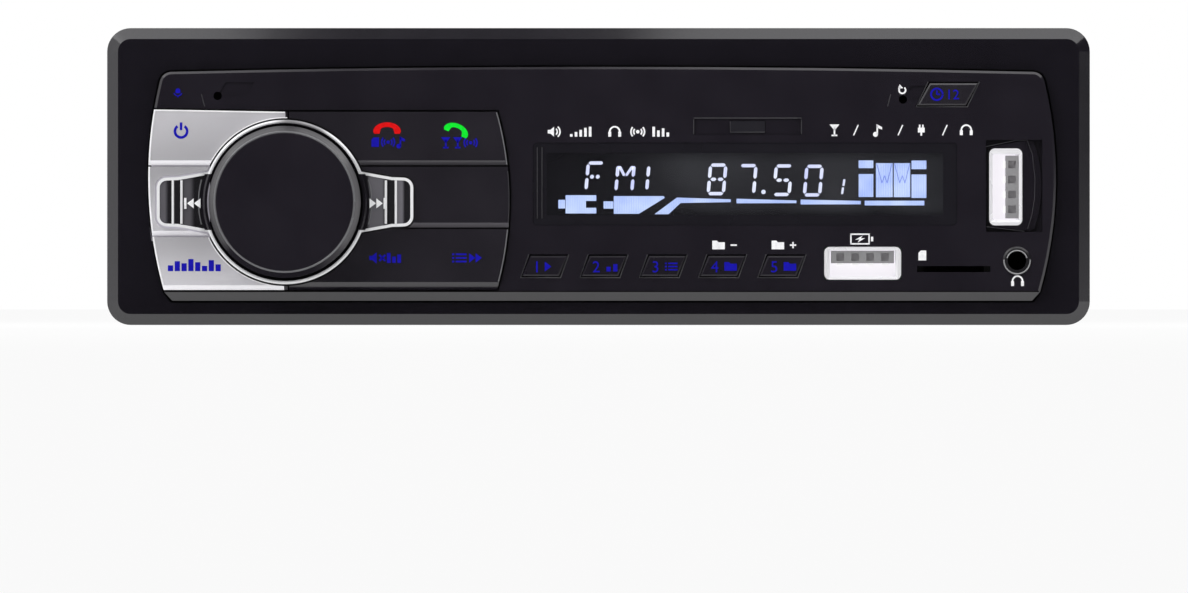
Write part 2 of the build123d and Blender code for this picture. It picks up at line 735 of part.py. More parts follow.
def slanted_key(at, width, height, slant):
    """A small leaning key with its guard flange and its stem; returns the builder."""
    corners = slanted(width, height, slant)
    with BuildPart() as key:
        with BuildSketch(facing(SKIN_BACK - 0.3 - GUARD_THICK)):
            with Locations(at):
                Polygon(*corners, align=None)
            offset(amount=KEY_GUARD, kind=Kind.INTERSECTION)
        extrude(amount=GUARD_THICK)
        with BuildSketch(facing(SKIN_BACK - 0.3)):
            with Locations(at):
                Polygon(*corners, align=None)
        extrude(amount=SMALL_KEY_FACE - SKIN_BACK + 0.3)
        chamfer(edges().group_by(Axis.Y)[0], 0.3)
        with BuildSketch(facing(STEM_END)):
            with Locations((at[0] + (width + slant) / 2, at[1] + height / 2)):
                Rectangle(STEM, STEM)
        extrude(amount=SKIN_BACK - 0.3 - GUARD_THICK - STEM_END)
    return key


for number, at in enumerate(PRESET_AT, start=1):
    preset_key = slanted_key(at, PRESET_W, PRESET_H, PRESET_SLANT)
    save(preset_key, f"preset_key_{number}")

clock_key = slanted_key(CLOCK_AT, CLOCK_W, CLOCK_H, CLOCK_SLANT)
save(clock_key, "clock_key")


# ---- sockets in the nose --------------------------------------------------------------------------------
USB_BACK = USB_FACE - USB_DEPTH
USB_BLOCK = 2.2
USB_TONGUE_W = 12.0
USB_TONGUE_H = 2.4       # the contact tongue fills one half of the port, from its middle line on
USB_POCKET_W = 1.45
USB_POCKET_H = 1.45
USB_POCKET_DEEP = 1.2
CONTACT_PITCH = 2.85
CONTACT_W = 1.3
CONTACT_THICK = 0.25
CONTACT_LONG = 8.5
USB_TONGUE_FACE = USB_FACE - 0.7
USB_PORTS = ((CHARGE_AT, 0), (SIDE_USB_AT, -90))
with BuildPart() as usb_shells:
    for at, turn in USB_PORTS:
        with BuildSketch(facing(USB_BACK, *at, turn)):
            Rectangle(USB_W, USB_H)
            chamfer(vertices(), 0.5)
        extrude(amount=USB_DEPTH)
        with BuildSketch(facing(USB_FACE - 0.6, *at, turn)):
            RectangleRounded(USB_FLARE_W, USB_FLARE_H, 1.1)
        extrude(amount=0.6)
        with BuildSketch(facing(USB_BACK + USB_WALL, *at, turn)):
            Rectangle(USB_W - 2 * USB_WALL, USB_H - 2 * USB_WALL)
        extrude(amount=USB_DEPTH, mode=Mode.SUBTRACT)
    # the mouths open out
    for front in faces().group_by(Axis.Y)[0]:
        chamfer(front.inner_wires()[0].edges(), 0.45)
save(usb_shells, "usb_shells")

# white moulded tongues on blocks that close the backs of the shells
with BuildPart() as usb_tongues:
    for at, turn in USB_PORTS:
        with BuildSketch(facing(USB_BACK + USB_WALL, *at, turn)):
            Rectangle(USB_W - 2 * USB_WALL - 0.05, USB_H - 2 * USB_WALL - 0.05)
            chamfer(vertices(), 0.6)
        extrude(amount=USB_BLOCK)
        with BuildSketch(facing(USB_BACK + USB_WALL + USB_BLOCK, *at, turn)):
            with Locations((0, USB_TONGUE_H / 2)):
                Rectangle(USB_TONGUE_W, USB_TONGUE_H)
        extrude(amount=USB_TONGUE_FACE - USB_BACK - USB_WALL - USB_BLOCK)
        # pockets in its end, into which the contacts dip
        with BuildSketch(facing(USB_TONGUE_FACE, *at, turn)):
            with Locations((0, USB_TONGUE_H / 2)):
                with GridLocations(CONTACT_PITCH, 0, 4, 1):
                    Rectangle(USB_POCKET_W, USB_POCKET_H)
        extrude(amount=-USB_POCKET_DEEP, mode=Mode.SUBTRACT)
save(usb_tongues, "usb_tongues")

with BuildPart() as usb_contacts:
    for at, turn in USB_PORTS:
        with BuildSketch(facing(USB_BACK + USB_WALL + USB_BLOCK, *at, turn)):
            with Locations((0, -CONTACT_THICK / 2)):
                with GridLocations(CONTACT_PITCH, 0, 4, 1):
                    Rectangle(CONTACT_W, CONTACT_THICK)
        extrude(amount=CONTACT_LONG)
save(usb_contacts, "usb_contacts")

# insert that frames the side port: a clipped-in plate with a raised, scooped finger area
INSERT_FLANGE = 0.8
INSERT_FACE = 8.9
SCOOP_R = 7.0
with BuildPart() as usb_insert:
    with BuildSketch(facing(SKIN_BACK - INSERT_FLANGE)):
        with Locations((BAY_AT[0] - 0.5, BAY_AT[1])):
            Rectangle(BAY_W + 1.0, BAY_H + 1.2)
    extrude(amount=INSERT_FLANGE)
    with BuildSketch(facing(SKIN_BACK, *BAY_AT)):
        with BuildLine():
            edge = Polyline((-4.4, 7.4), (1.6, 8.6), (3.7, 8.6))
            bulge = ThreePointArc(edge @ 1, (5.25, 0.1), (3.9, -8.1))
            Polyline(bulge @ 1, (3.1, -8.6), (-4.3, -7.8), edge @ 0)
        make_face()
    extrude(amount=INSERT_FACE - SKIN_BACK)
    with BuildSketch(level(NOSE_BOTTOM)):
        with Locations((SIDE_USB_AT[0] + 6.2, -INSERT_FACE - SCOOP_R + 0.7)):
            Circle(SCOOP_R)
    extrude(amount=2 * MID_Z, mode=Mode.SUBTRACT)
    with BuildSketch(facing(0, *SIDE_USB_AT, -90)):
        RectangleRounded(USB_FLARE_W + 0.15, USB_FLARE_H + 0.15, 1.1)
    extrude(amount=NOSE_FACE, mode=Mode.SUBTRACT)
save(usb_insert, "usb_insert")

READER_DEPTH = 13.0
READER_W = 15.2
READER_H = 2.6
with BuildPart() as card_reader:
    with BuildSketch(facing(SKIN_BACK - READER_DEPTH)):
        with Locations(CARD_AT):
            Rectangle(READER_W, READER_H)
    extrude(amount=READER_DEPTH)
    with BuildSketch(facing(SKIN_BACK)):
        with Locations(CARD_AT):
            Rectangle(CARD_W - 2.4, CARD_H)
    extrude(amount=1.2 - READER_DEPTH, mode=Mode.SUBTRACT)
save(card_reader, "card_reader")

JACK_FACE = 9.9
JACK_BODY = 6.6
JACK_BODY_FACE = 6.7
JACK_BODY_BACK = -6.4
with BuildPart() as audio_jack:
    with BuildSketch(facing(JACK_BODY_BACK)):
        with Locations(JACK_AT):
            Rectangle(JACK_BODY, JACK_BODY)
    extrude(amount=JACK_BODY_FACE - JACK_BODY_BACK)
    with BuildSketch(facing(JACK_BODY_FACE)):
        with Locations(JACK_AT):
            Circle(JACK_BORE_R + 0.3)
    extrude(amount=-11.5, mode=Mode.SUBTRACT)
save(audio_jack, "audio_jack")

with BuildPart() as jack_bush:
    with BuildSketch(facing(JACK_BODY_FACE)):
        with Locations(JACK_AT):
            Circle(JACK_BUSH_R)
            Circle(JACK_BORE_R, mode=Mode.SUBTRACT)
    extrude(amount=JACK_FACE - JACK_BODY_FACE)
    chamfer(faces().sort_by(Axis.Y)[0].outer_wire().edges(), 0.35)
save(jack_bush, "jack_bush")


# ---- front circuit board --------------------------------------------------------------------------------
SWITCH = 4.5
SWITCH_BODY = 2.0
SCREW_R = 0.85
HEAD_R = 1.8
board_shape = nose_shape(-NOSE_WALL - 0.6)


def stem_of(at, width, height, slant):
    return at[0] + (width + slant) / 2, at[1] + height / 2


PRESET_STEMS = [stem_of(at, PRESET_W, PRESET_H, PRESET_SLANT) for at in PRESET_AT]
CLOCK_STEM = stem_of(CLOCK_AT, CLOCK_W, CLOCK_H, CLOCK_SLANT)
LAMP_STEMS = (*FIELD_STEMS, *PRESET_STEMS, CLOCK_STEM)
SWITCHES = (*LAMP_STEMS, RESET_AT)
with BuildPart() as front_board:
    with BuildSketch(facing(BOARD_FACE - BOARD_THICK)):
        add(board_shape)
        # the sockets reach back through the board
        with Locations(CHARGE_AT):
            Rectangle(USB_W + 0.6, USB_H + 0.6, mode=Mode.SUBTRACT)
        with Locations((CARD_AT[0], CARD_AT[1] - 2)):
            Rectangle(READER_W + 0.5, READER_H + 4.5, mode=Mode.SUBTRACT)
        with Locations(SIDE_USB_AT):
            Rectangle(USB_H + 0.6, USB_W + 0.6, mode=Mode.SUBTRACT)
        with Locations((JACK_AT[0] + 2, JACK_AT[1] - 2)):
            Rectangle(JACK_BODY + 4.3, JACK_BODY + 4.3, mode=Mode.SUBTRACT)
        with Locations(*BOARD_SCREWS):
            small_round(SCREW_R + 0.25, Mode.SUBTRACT)
    extrude(amount=BOARD_THICK)
save(front_board, "front_board")

with BuildPart() as key_switches:
    with BuildSketch(facing(BOARD_FACE)):
        with Locations(*SWITCHES):
            Rectangle(SWITCH, SWITCH)
    extrude(amount=SWITCH_BODY)
    with BuildSketch(facing(BOARD_FACE + SWITCH_BODY)):
        with Locations(*SWITCHES):
            RegularPolygon(1.4, 8)
    extrude(amount=SWITCH_TOP - BOARD_FACE - SWITCH_BODY)
save(key_switches, "key_switches")

# lamps: one beside each key's switch, and one in each end of the display's light guide
with BuildPart() as board_lamps:
    with BuildSketch(facing(BOARD_FACE)):
        with Locations(*[(u + 3.4, v) for u, v in LAMP_STEMS]):
            Rectangle(0.8, 1.6)
    extrude(amount=0.7)
    with BuildSketch(facing(BOARD_FACE)):
        with Locations(LENS_AT):
            with GridLocations(PANEL_W - LAMP_POCKET, 0, 2, 1):
                Rectangle(1.6, 3.2)
    extrude(amount=1.2)
save(board_lamps, "board_lamps")

with BuildPart() as remote_sensor:
    with BuildSketch(facing(BOARD_FACE)):
        with Locations(WINDOW_AT):
            Rectangle(5.6, 3.8)
    extrude(amount=3.2)
    with BuildSketch(facing(BOARD_FACE + 3.2)):
        with Locations(WINDOW_AT):
            Circle(1.8)
    extrude(amount=1.3, taper=15)
save(remote_sensor, "remote_sensor")

MIC_CAN_R = 2.9
with BuildPart() as microphone:
    with BuildSketch(facing(BOARD_FACE)):
        with Locations(MIC_AT):
            small_round(MIC_CAN_R)
    extrude(amount=FLOOR_BACK - BOARD_FACE - 0.2)
save(microphone, "microphone")

with BuildPart() as board_screws:
    with BuildSketch(facing(BOARD_FACE - BOARD_THICK - 1.2)):
        with Locations(*BOARD_SCREWS):
            small_round(HEAD_R)
    extrude(amount=1.2)
    with BuildSketch(facing(BOARD_FACE - BOARD_THICK)):
        with Locations(*BOARD_SCREWS):
            small_round(SCREW_R)
    extrude(amount=BOARD_THICK + 2.6)
save(board_screws, "board_screws")

HEADER_U = 6.0
HEADER_W = 24.0
HEADER_H = 5.5
with BuildPart() as board_header:
    with BuildSketch(facing(MAIN_BOARD_FRONT - 4.0)):
        with Locations((HEADER_U, MAIN_BOARD_TOP + HEADER_H / 2)):
            Rectangle(HEADER_W, HEADER_H)
    extrude(amount=BOARD_FACE - BOARD_THICK - MAIN_BOARD_FRONT + 4.0)
save(board_header, "board_header")


# ---- chassis --------------------------------------------------------------------------------------------
TRAY_TOP = CHASSIS_H / 2 - SHEET
TRAY_LONG = CHASSIS_FRONT - REAR_FACE
RETURN_FLANGE = 5.0
LEGS = ((-80, -14), (80, -14), (-80, -56), (80, -56))
LEG_W = 8.0
LEG_TONGUE_W = 3.0
LEG_TONGUE = 1.5         # how far a tongue stands above the main board
TAP_R = 1.1              # hole that a screw bites into
VENT_LONG = 18.0
VENT_WIDE = 3.0
VENT_PITCH = 14.0
VENT_PER_ROW = 8
VENT_ROW_GAP = 24.0
VENT_ROWS_MID = 32.0     # behind the dashboard's face
VENT_CLIP = 0.8
COVER_SCREWS = ((-85.5, -56.5), (85.5, -56.5))
SINK_HEAD_R = 1.95
SINK_HEAD = 0.85
COVER_SHANK = 4.0
SIDE_SCREWS = ((-10.0, -58.0), (10.0, -58.0))
PAN_HEAD_R = 2.6
PAN_HEAD = 1.5
PAN_SHANK_R = 1.05
PAN_SHANK = 5.0
CLEAR_R = 1.3            # clearance hole for such a screw
SINK_SCREW = 15.4        # each side of the sink's middle


def at_level(places):
    """(u, forward) places as points of a horizontal plane."""
    return [(u, -forward) for u, forward in places]


with BuildPart() as chassis_tray:
    # one folded sheet: floor, sides and returned top edges
    with BuildSketch(facing(REAR_FACE)):
        with Locations((0, -SHEET / 2)):
            Rectangle(CHASSIS_W, CHASSIS_H - SHEET)
            Rectangle(CHASSIS_W - 2 * SHEET, CHASSIS_H - 3 * SHEET, mode=Mode.SUBTRACT)
        with Locations((0, TRAY_TOP)):
            Rectangle(CHASSIS_W - 2 * SHEET - 2 * RETURN_FLANGE, 3 * SHEET, mode=Mode.SUBTRACT)
    extrude(amount=TRAY_LONG)
    fillet(edges().filter_by(Axis.Y).group_by(Axis.Z)[0], 1.2)
    # legs bent up from the floor, each with a tongue through the main board
    with BuildSketch(level(-TRAY_TOP)):
        with Locations(*at_level(LEGS)):
            Rectangle(LEG_W, SHEET)
    extrude(amount=MAIN_BOARD_V + TRAY_TOP)
    with BuildSketch(level(MAIN_BOARD_V)):
        with Locations(*at_level(LEGS)):
            Rectangle(LEG_TONGUE_W, SHEET)
    extrude(amount=BOARD_THICK + LEG_TONGUE)
    # one row of cooling slots in the floor
    with BuildSketch(level(-TRAY_TOP)):
        with Locations((0, VENT_ROWS_MID)):
            with GridLocations(VENT_PITCH, 0, VENT_PER_ROW, 1):
                Rectangle(VENT_WIDE, VENT_LONG)
        chamfer(vertices(), VENT_CLIP)
    extrude(amount=-SHEET, mode=Mode.SUBTRACT)
    # holes for the cover's screws and the rear panel's screws
    with BuildSketch(level(TRAY_TOP)):
        with Locations(*at_level(COVER_SCREWS)):
            small_round(TAP_R)
    extrude(amount=-SHEET, mode=Mode.SUBTRACT)
    with BuildSketch(Plane(origin=(-CHASSIS_W / 2, DASH_Y, MID_Z), x_dir=(0, 1, 0), z_dir=(1, 0, 0))):
        with Locations(*[(-forward, v) for v, forward in SIDE_SCREWS]):
            small_round(CLEAR_R)
    extrude(amount=CHASSIS_W, mode=Mode.SUBTRACT)
save(chassis_tray, "chassis_tray")

with BuildPart() as top_cover:
    with BuildSketch(level(TRAY_TOP)):
        with Locations((0, (CHASSIS_DEPTH - CHASSIS_FRONT) / 2)):
            RectangleRounded(CHASSIS_W, TRAY_LONG, 1.0)
    extrude(amount=SHEET)
    with BuildSketch(level(TRAY_TOP + SHEET)):
        with Locations((0, VENT_ROWS_MID)):
            with GridLocations(VENT_PITCH, VENT_ROW_GAP, VENT_PER_ROW, 2):
                Rectangle(VENT_WIDE, VENT_LONG)
        chamfer(vertices(), VENT_CLIP)
    extrude(amount=-SHEET, mode=Mode.SUBTRACT)
    # countersunk holes
    with BuildSketch(level(TRAY_TOP)):
        with Locations(*at_level(COVER_SCREWS)):
            small_round(TAP_R)
    extrude(amount=SHEET, mode=Mode.SUBTRACT)
    with BuildSketch(level(CHASSIS_H / 2)):
        with Locations(*at_level(COVER_SCREWS)):
            small_round(SINK_HEAD_R + 0.15)
    extrude(amount=-SHEET, taper=45, mode=Mode.SUBTRACT)
save(top_cover, "top_cover")

with BuildPart() as cover_screws:
    with BuildSketch(level(CHASSIS_H / 2 - 0.1)):
        with Locations(*at_level(COVER_SCREWS)):
            small_round(SINK_HEAD_R)
    extrude(amount=-SINK_HEAD, taper=45)
    with BuildSketch(level(CHASSIS_H / 2 - 0.1 - SINK_HEAD)):
        with Locations(*at_level(COVER_SCREWS)):
            small_round(PAN_SHANK_R)
    extrude(amount=-COVER_SHANK)
save(cover_screws, "cover_screws")

FUSE_V = MAIN_BOARD_TOP + BLOCK_H + 4
FUSE_HOLDER_W = 22.0
FUSE_HOLDER_H = 8.0
FUSE_HOLDER_END = REAR_FACE - 4
EAR_H = 30.0
EAR_LONG = 6.5
PANEL_SIDE = CHASSIS_W - 2 * SHEET
with BuildPart() as rear_panel:
    with BuildSketch(facing(REAR_FACE)):
        Rectangle(PANEL_SIDE, 2 * TRAY_TOP)
        with Locations((0, TRAY_TOP)):
            with GridLocations(PANEL_SIDE - RETURN_FLANGE, 0, 2, 1):
                Rectangle(RETURN_FLANGE + 0.1, 2 * SHEET + 0.1, mode=Mode.SUBTRACT)
        with Locations((BLOCK_U, MAIN_BOARD_TOP + BLOCK_H / 2)):
            Rectangle(BLOCK_W + 0.2, BLOCK_H + 0.2, mode=Mode.SUBTRACT)
        with Locations((BLOCK_U, FUSE_V)):
            Rectangle(FUSE_HOLDER_W + 0.2, FUSE_HOLDER_H + 1, mode=Mode.SUBTRACT)
        with Locations(LINE_OUT_BOSS_AT):
            Rectangle(LINE_OUT_BOSS_W + 0.2, LINE_OUT_BOSS_H + 0.2, mode=Mode.SUBTRACT)
        with Locations(ANTENNA_AT):
            Circle(ANTENNA_TUBE_R + 0.05, mode=Mode.SUBTRACT)
        with Locations(STUD_AT):
            small_round(STUD_R + 0.5, Mode.SUBTRACT)
        with Locations((SINK_U, 0)):
            with GridLocations(2 * SINK_SCREW, 0, 2, 1):
                small_round(CLEAR_R, Mode.SUBTRACT)
    extrude(amount=SHEET)
    # exhaust slots above the line-out sockets
    with BuildSketch(facing(REAR_FACE)):
        with Locations((62, 13)):
            with GridLocations(6.5, 0, 5, 1):
                Rectangle(VENT_WIDE, 11)
        chamfer(vertices(), VENT_CLIP)
    extrude(amount=SHEET, mode=Mode.SUBTRACT)
    # ears folded forward against the tray's sides
    with BuildSketch(facing(REAR_FACE + SHEET)):
        with GridLocations(PANEL_SIDE - SHEET, 0, 2, 1):
            Rectangle(SHEET, EAR_H)
    extrude(amount=EAR_LONG)
    with BuildSketch(Plane(origin=(-CHASSIS_W / 2, DASH_Y, MID_Z), x_dir=(0, 1, 0), z_dir=(1, 0, 0))):
        with Locations(*[(-forward, v) for v, forward in SIDE_SCREWS]):
            small_round(TAP_R)
    extrude(amount=CHASSIS_W, mode=Mode.SUBTRACT)
save(rear_panel, "rear_panel")


# ---- main board and what stands on it -------------------------------------------------------------------
with BuildPart() as main_board:
    with BuildSketch(level(MAIN_BOARD_V)):
        with Locations((0, -(MAIN_BOARD_FRONT + MAIN_BOARD_REAR) / 2)):
            Rectangle(PANEL_SIDE - 4, MAIN_BOARD_FRONT - MAIN_BOARD_REAR)
        with Locations(*at_level(LEGS)):
            Rectangle(LEG_TONGUE_W + 0.4, SHEET + 0.3, mode=Mode.SUBTRACT)
    extrude(amount=BOARD_THICK)
save(main_board, "main_board")


def standing_box(u, forward, wide, deep, high, edge=0.3):
    """A box on the main board with eased top edges."""
    with BuildPart() as block:
        with BuildSketch(level(MAIN_BOARD_TOP)):
            with Locations((u, -forward)):
                Rectangle(wide, deep)
        extrude(amount=high)
        chamfer(faces().sort_by(Axis.Z)[-1].edges(), edge)
    return block


TUNER_W = 28.0
TUNER_DEEP = 20.0
TUNER_H = 21.0
TUNER_REAR = -52.0
TUNER_AT = (ANTENNA_AT[0] - 1, -TUNER_REAR - TUNER_DEEP / 2)
with BuildPart() as tuner_can:
    with BuildSketch(level(MAIN_BOARD_TOP)):
        with Locations(TUNER_AT):
            RectangleRounded(TUNER_W, TUNER_DEEP, 1.0)
    extrude(amount=TUNER_H)
    # sunken lid
    with BuildSketch(level(MAIN_BOARD_TOP + TUNER_H)):
        with Locations(TUNER_AT):
            Rectangle(TUNER_W - 3, TUNER_DEEP - 3)
    extrude(amount=-0.5, mode=Mode.SUBTRACT)
save(tuner_can, "tuner_can")

save(standing_box(SINK_U, REAR_FACE + SHEET + 2.4, 20, 4.8, 17), "amplifier_chip")
save(standing_box(-56, -18, 17, 13, 2.2), "wireless_module")
save(standing_box(24, -22, 14, 14, 1.4), "processor_chip")

# electrolytic capacitors: (u, forward, radius, height)
CANS = ((-30, -46, 6.3, 20), (-30, -31, 5.0, 16), (48, -20, 4.0, 11))
with BuildPart() as capacitors:
    for u, forward, radius, height in CANS:
        with BuildSketch(level(MAIN_BOARD_TOP)):
            with Locations((u, -forward)):
                RegularPolygon(radius, 24)
        extrude(amount=height)
save(capacitors, "capacitors")

CHOKE_AT = (-48, -47)
with BuildPart() as power_choke:
    with BuildSketch(level(MAIN_BOARD_TOP)):
        with Locations(at_level([CHOKE_AT])[0]):
            Circle(7.5)
            Circle(3.0, mode=Mode.SUBTRACT)
    extrude(amount=7)
save(power_choke, "power_choke")


# ---- rear sockets ---------------------------------------------------------------------------------------
CHAMBER_W = 33.0
CHAMBER_H = 10.4
CHAMBER_V = (MAIN_BOARD_TOP + 7.2, MAIN_BOARD_TOP + 19.0)
CHAMBER_DEEP = 15.0
PIN_PITCH = (7.4, 5.0)
PIN_W = 2.2
PIN_H = 0.8
PIN_REACH = 10.4
FUSE_W = 18.6
FUSE_H = 4.6
with BuildPart() as power_connector:
    with BuildSketch(facing(SOCKET_END)):
        with Locations((BLOCK_U, MAIN_BOARD_TOP + BLOCK_H / 2)):
            Rectangle(BLOCK_W, BLOCK_H)
    extrude(amount=23)
    with BuildSketch(facing(SOCKET_END)):
        with Locations(*[(BLOCK_U, v) for v in CHAMBER_V]):
            Rectangle(CHAMBER_W, CHAMBER_H)
    extrude(amount=CHAMBER_DEEP, mode=Mode.SUBTRACT)
    # polarising grooves in the chamber roofs, and a latch window on each side
    with BuildSketch(facing(SOCKET_END)):
        with Locations(*[(BLOCK_U + 9 * side, v + CHAMBER_H / 2) for side, v in zip((-1, 1), CHAMBER_V)]):
            Rectangle(3.0, 1.0)
    extrude(amount=CHAMBER_DEEP - 4, mode=Mode.SUBTRACT)
    block_side = (BLOCK_U - BLOCK_W / 2, DASH_Y - SOCKET_END, MID_Z)
    with BuildSketch(Plane(origin=block_side, x_dir=(0, -1, 0), z_dir=(-1, 0, 0))):
        with Locations(*[(5.0, v) for v in CHAMBER_V]):
            Rectangle(3.0, 4.0)
    extrude(amount=-BLOCK_W, mode=Mode.SUBTRACT)
    # fuse holder on its roof
    with BuildSketch(facing(FUSE_HOLDER_END)):
        with Locations((BLOCK_U, FUSE_V)):
            Rectangle(FUSE_HOLDER_W, FUSE_HOLDER_H)
    extrude(amount=16)
    with BuildSketch(facing(FUSE_HOLDER_END)):
        with Locations((BLOCK_U, FUSE_V)):
            Rectangle(FUSE_W + 0.2, FUSE_H + 0.2)
    extrude(amount=12, mode=Mode.SUBTRACT)
save(power_connector, "power_connector")

with BuildPart() as connector_pins:
    with BuildSketch(facing(SOCKET_END + CHAMBER_DEEP)):
        for v in CHAMBER_V:
            with Locations((BLOCK_U, v)):
                with GridLocations(PIN_PITCH[0], PIN_PITCH[1], 4, 2):
                    Rectangle(PIN_W, PIN_H)
    extrude(amount=-PIN_REACH)
save(connector_pins, "connector_pins")

with BuildPart() as fuse:
    with BuildSketch(facing(FUSE_HOLDER_END - 6)):
        with Locations((BLOCK_U, FUSE_V)):
            Rectangle(FUSE_W, FUSE_H)
    extrude(amount=12.5)
    with BuildSketch(facing(FUSE_HOLDER_END - 6)):
        with Locations((BLOCK_U, FUSE_V + FUSE_H / 2), (BLOCK_U, FUSE_V - FUSE_H / 2)):
            Rectangle(8, 1.6)
    extrude(amount=5.5, mode=Mode.SUBTRACT)
    with BuildSketch(facing(FUSE_HOLDER_END + 6.5)):
        with Locations((BLOCK_U, FUSE_V)):
            with GridLocations(11, 0, 2, 1):
                Rectangle(5, 0.8)
    extrude(amount=5.5)
save(fuse, "fuse")

LINE_OUT_REACH = 9.0
LINE_OUT_HOUSING = (23.0, 16.0)
with BuildPart() as line_out_sockets:
    with BuildSketch(facing(REAR_FACE + SHEET)):
        with Locations((LINE_OUT_BOSS_AT[0], MAIN_BOARD_TOP + LINE_OUT_HOUSING[1] / 2)):
            Rectangle(*LINE_OUT_HOUSING)
    extrude(amount=14)
    with BuildSketch(facing(REAR_FACE)):
        with Locations(LINE_OUT_BOSS_AT):
            Rectangle(LINE_OUT_BOSS_W, LINE_OUT_BOSS_H)
    extrude(amount=SHEET)
    with BuildSketch(facing(REAR_FACE - LINE_OUT_REACH)):
        with Locations(*LINE_OUT_AT):
            Circle(LINE_OUT_R)
    extrude(amount=LINE_OUT_REACH)
    with BuildSketch(facing(REAR_FACE - LINE_OUT_REACH)):
        with Locations(*LINE_OUT_AT):
            Circle(LINE_OUT_BORE_R)
    extrude(amount=LINE_OUT_REACH + 2, mode=Mode.SUBTRACT)
save(line_out_sockets, "line_out_sockets")

ANTENNA_BORE_DEEP = 14.0
ANTENNA_FLANGE = 1.6
ANTENNA_FLANGE_W = 17.0
with BuildPart() as antenna_socket:
    with BuildSketch(facing(SOCKET_END)):
        with Locations(ANTENNA_AT):
            Circle(ANTENNA_TUBE_R)
    extrude(amount=TUNER_REAR - SOCKET_END)
    # clipped square flange against the rear panel
    with BuildSketch(facing(REAR_FACE - ANTENNA_FLANGE)):
        with Locations(ANTENNA_AT):
            Rectangle(ANTENNA_FLANGE_W, ANTENNA_FLANGE_W)
        chamfer(vertices(), ANTENNA_FLANGE_W / 4)
    extrude(amount=ANTENNA_FLANGE)
    with BuildSketch(facing(SOCKET_END)):
        with Locations(ANTENNA_AT):
            Circle(ANTENNA_R)
    extrude(amount=ANTENNA_BORE_DEEP, mode=Mode.SUBTRACT)
save(antenna_socket, "antenna_socket")

STUD_HEX = 8.0
STUD_NUT = 3.0
STUD_HEAD = 1.5
with BuildPart() as rear_stud:
    with BuildSketch(facing(REAR_FACE - STUD_REACH)):
        with Locations(STUD_AT):
            Circle(STUD_R)
    extrude(amount=STUD_REACH + SHEET)
    chamfer(faces().sort_by(Axis.Y)[-1].edges(), 0.5)
    # its head inside and a nut outside clamp the rear panel
    for back, thick in ((REAR_FACE + SHEET, STUD_HEAD), (REAR_FACE - STUD_NUT, STUD_NUT)):
        with BuildSketch(facing(back)):
            with Locations(STUD_AT):
                RegularPolygon(STUD_HEX / 2, 6, major_radius=False)
        extrude(amount=thick)
save(rear_stud, "rear_stud")

FIN_COUNT = 11
FIN_PITCH = 4.4
FIN_THICK = 1.5
SINK_BASE = 3.0
SINK_WELL_R = 3.4
with BuildPart() as heat_sink:
    with BuildSketch(facing(REAR_FACE)):
        with Locations((SINK_U, 0)):
            Rectangle(SINK_W, SINK_H)
    extrude(amount=-SINK_BASE)
    with BuildSketch(facing(REAR_FACE - SINK_BASE)):
        with Locations((SINK_U, 0)):
            with GridLocations(FIN_PITCH, 0, FIN_COUNT, 1):
                Rectangle(FIN_THICK, SINK_H)
    extrude(amount=SOCKET_END - REAR_FACE + SINK_BASE)
    with BuildSketch(facing(REAR_FACE)):
        with Locations((SINK_U, 0)):
            with GridLocations(2 * SINK_SCREW, 0, 2, 1):
                small_round(SINK_WELL_R)
    extrude(amount=SOCKET_END - REAR_FACE, mode=Mode.SUBTRACT)
    with BuildSketch(facing(REAR_FACE)):
        with Locations((SINK_U, 0)):
            with GridLocations(2 * SINK_SCREW, 0, 2, 1):
                small_round(SINK_WELL_R)
                small_round(CLEAR_R, Mode.SUBTRACT)
    extrude(amount=-SINK_BASE)
save(heat_sink, "heat_sink")

# pan-head screws: four hold the rear panel and two the heat sink
sink_seat = Plane(origin=(SINK_U, DASH_Y - REAR_FACE + SINK_BASE, MID_Z), x_dir=(1, 0, 0), z_dir=(0, 1, 0))
screw_seats = [(sink_seat, [(-SINK_SCREW, 0), (SINK_SCREW, 0)])]
for side in (-1, 1):
    seat = Plane(origin=(side * CHASSIS_W / 2, DASH_Y, MID_Z), x_dir=(0, 1, 0), z_dir=(side, 0, 0))
    screw_seats.append((seat, [(-forward, v) for v, forward in SIDE_SCREWS]))
with BuildPart() as chassis_screws:
    for seat, places in screw_seats:
        with BuildSketch(seat):
            with Locations(*places):
                small_round(PAN_HEAD_R)
        extrude(amount=PAN_HEAD)
        with BuildSketch(seat):
            with Locations(*places):
                small_round(PAN_SHANK_R)
        extrude(amount=-PAN_SHANK)
save(chassis_screws, "chassis_screws")


# ---- mounting sleeve and its lock springs ---------------------------------------------------------------
TAB_PITCH = 38.0
TAB_COUNT = 4
TAB_W = 9.0
TAB_LONG = 11.0
TAB_SLIT = 0.7
TAB_ROWS = (14.0, 34.0)
GUIDE_U = 70.0
GUIDE_W = 3.0
LATCH_AT = 23.0          # how far back the springs catch the sleeve
LATCH_LONG = 4.5
SPRING_H = 8.0


def bend_tab():
    """U-shaped slit that frees a tapered tab, to be bent out against the dashboard."""
    with BuildSketch() as slit:
        Trapezoid(TAB_W, TAB_LONG, 75)
        with Locations((0, -TAB_SLIT)):
            Trapezoid(TAB_W - 2 * TAB_SLIT, TAB_LONG, 75, mode=Mode.SUBTRACT)
    return slit.sketch


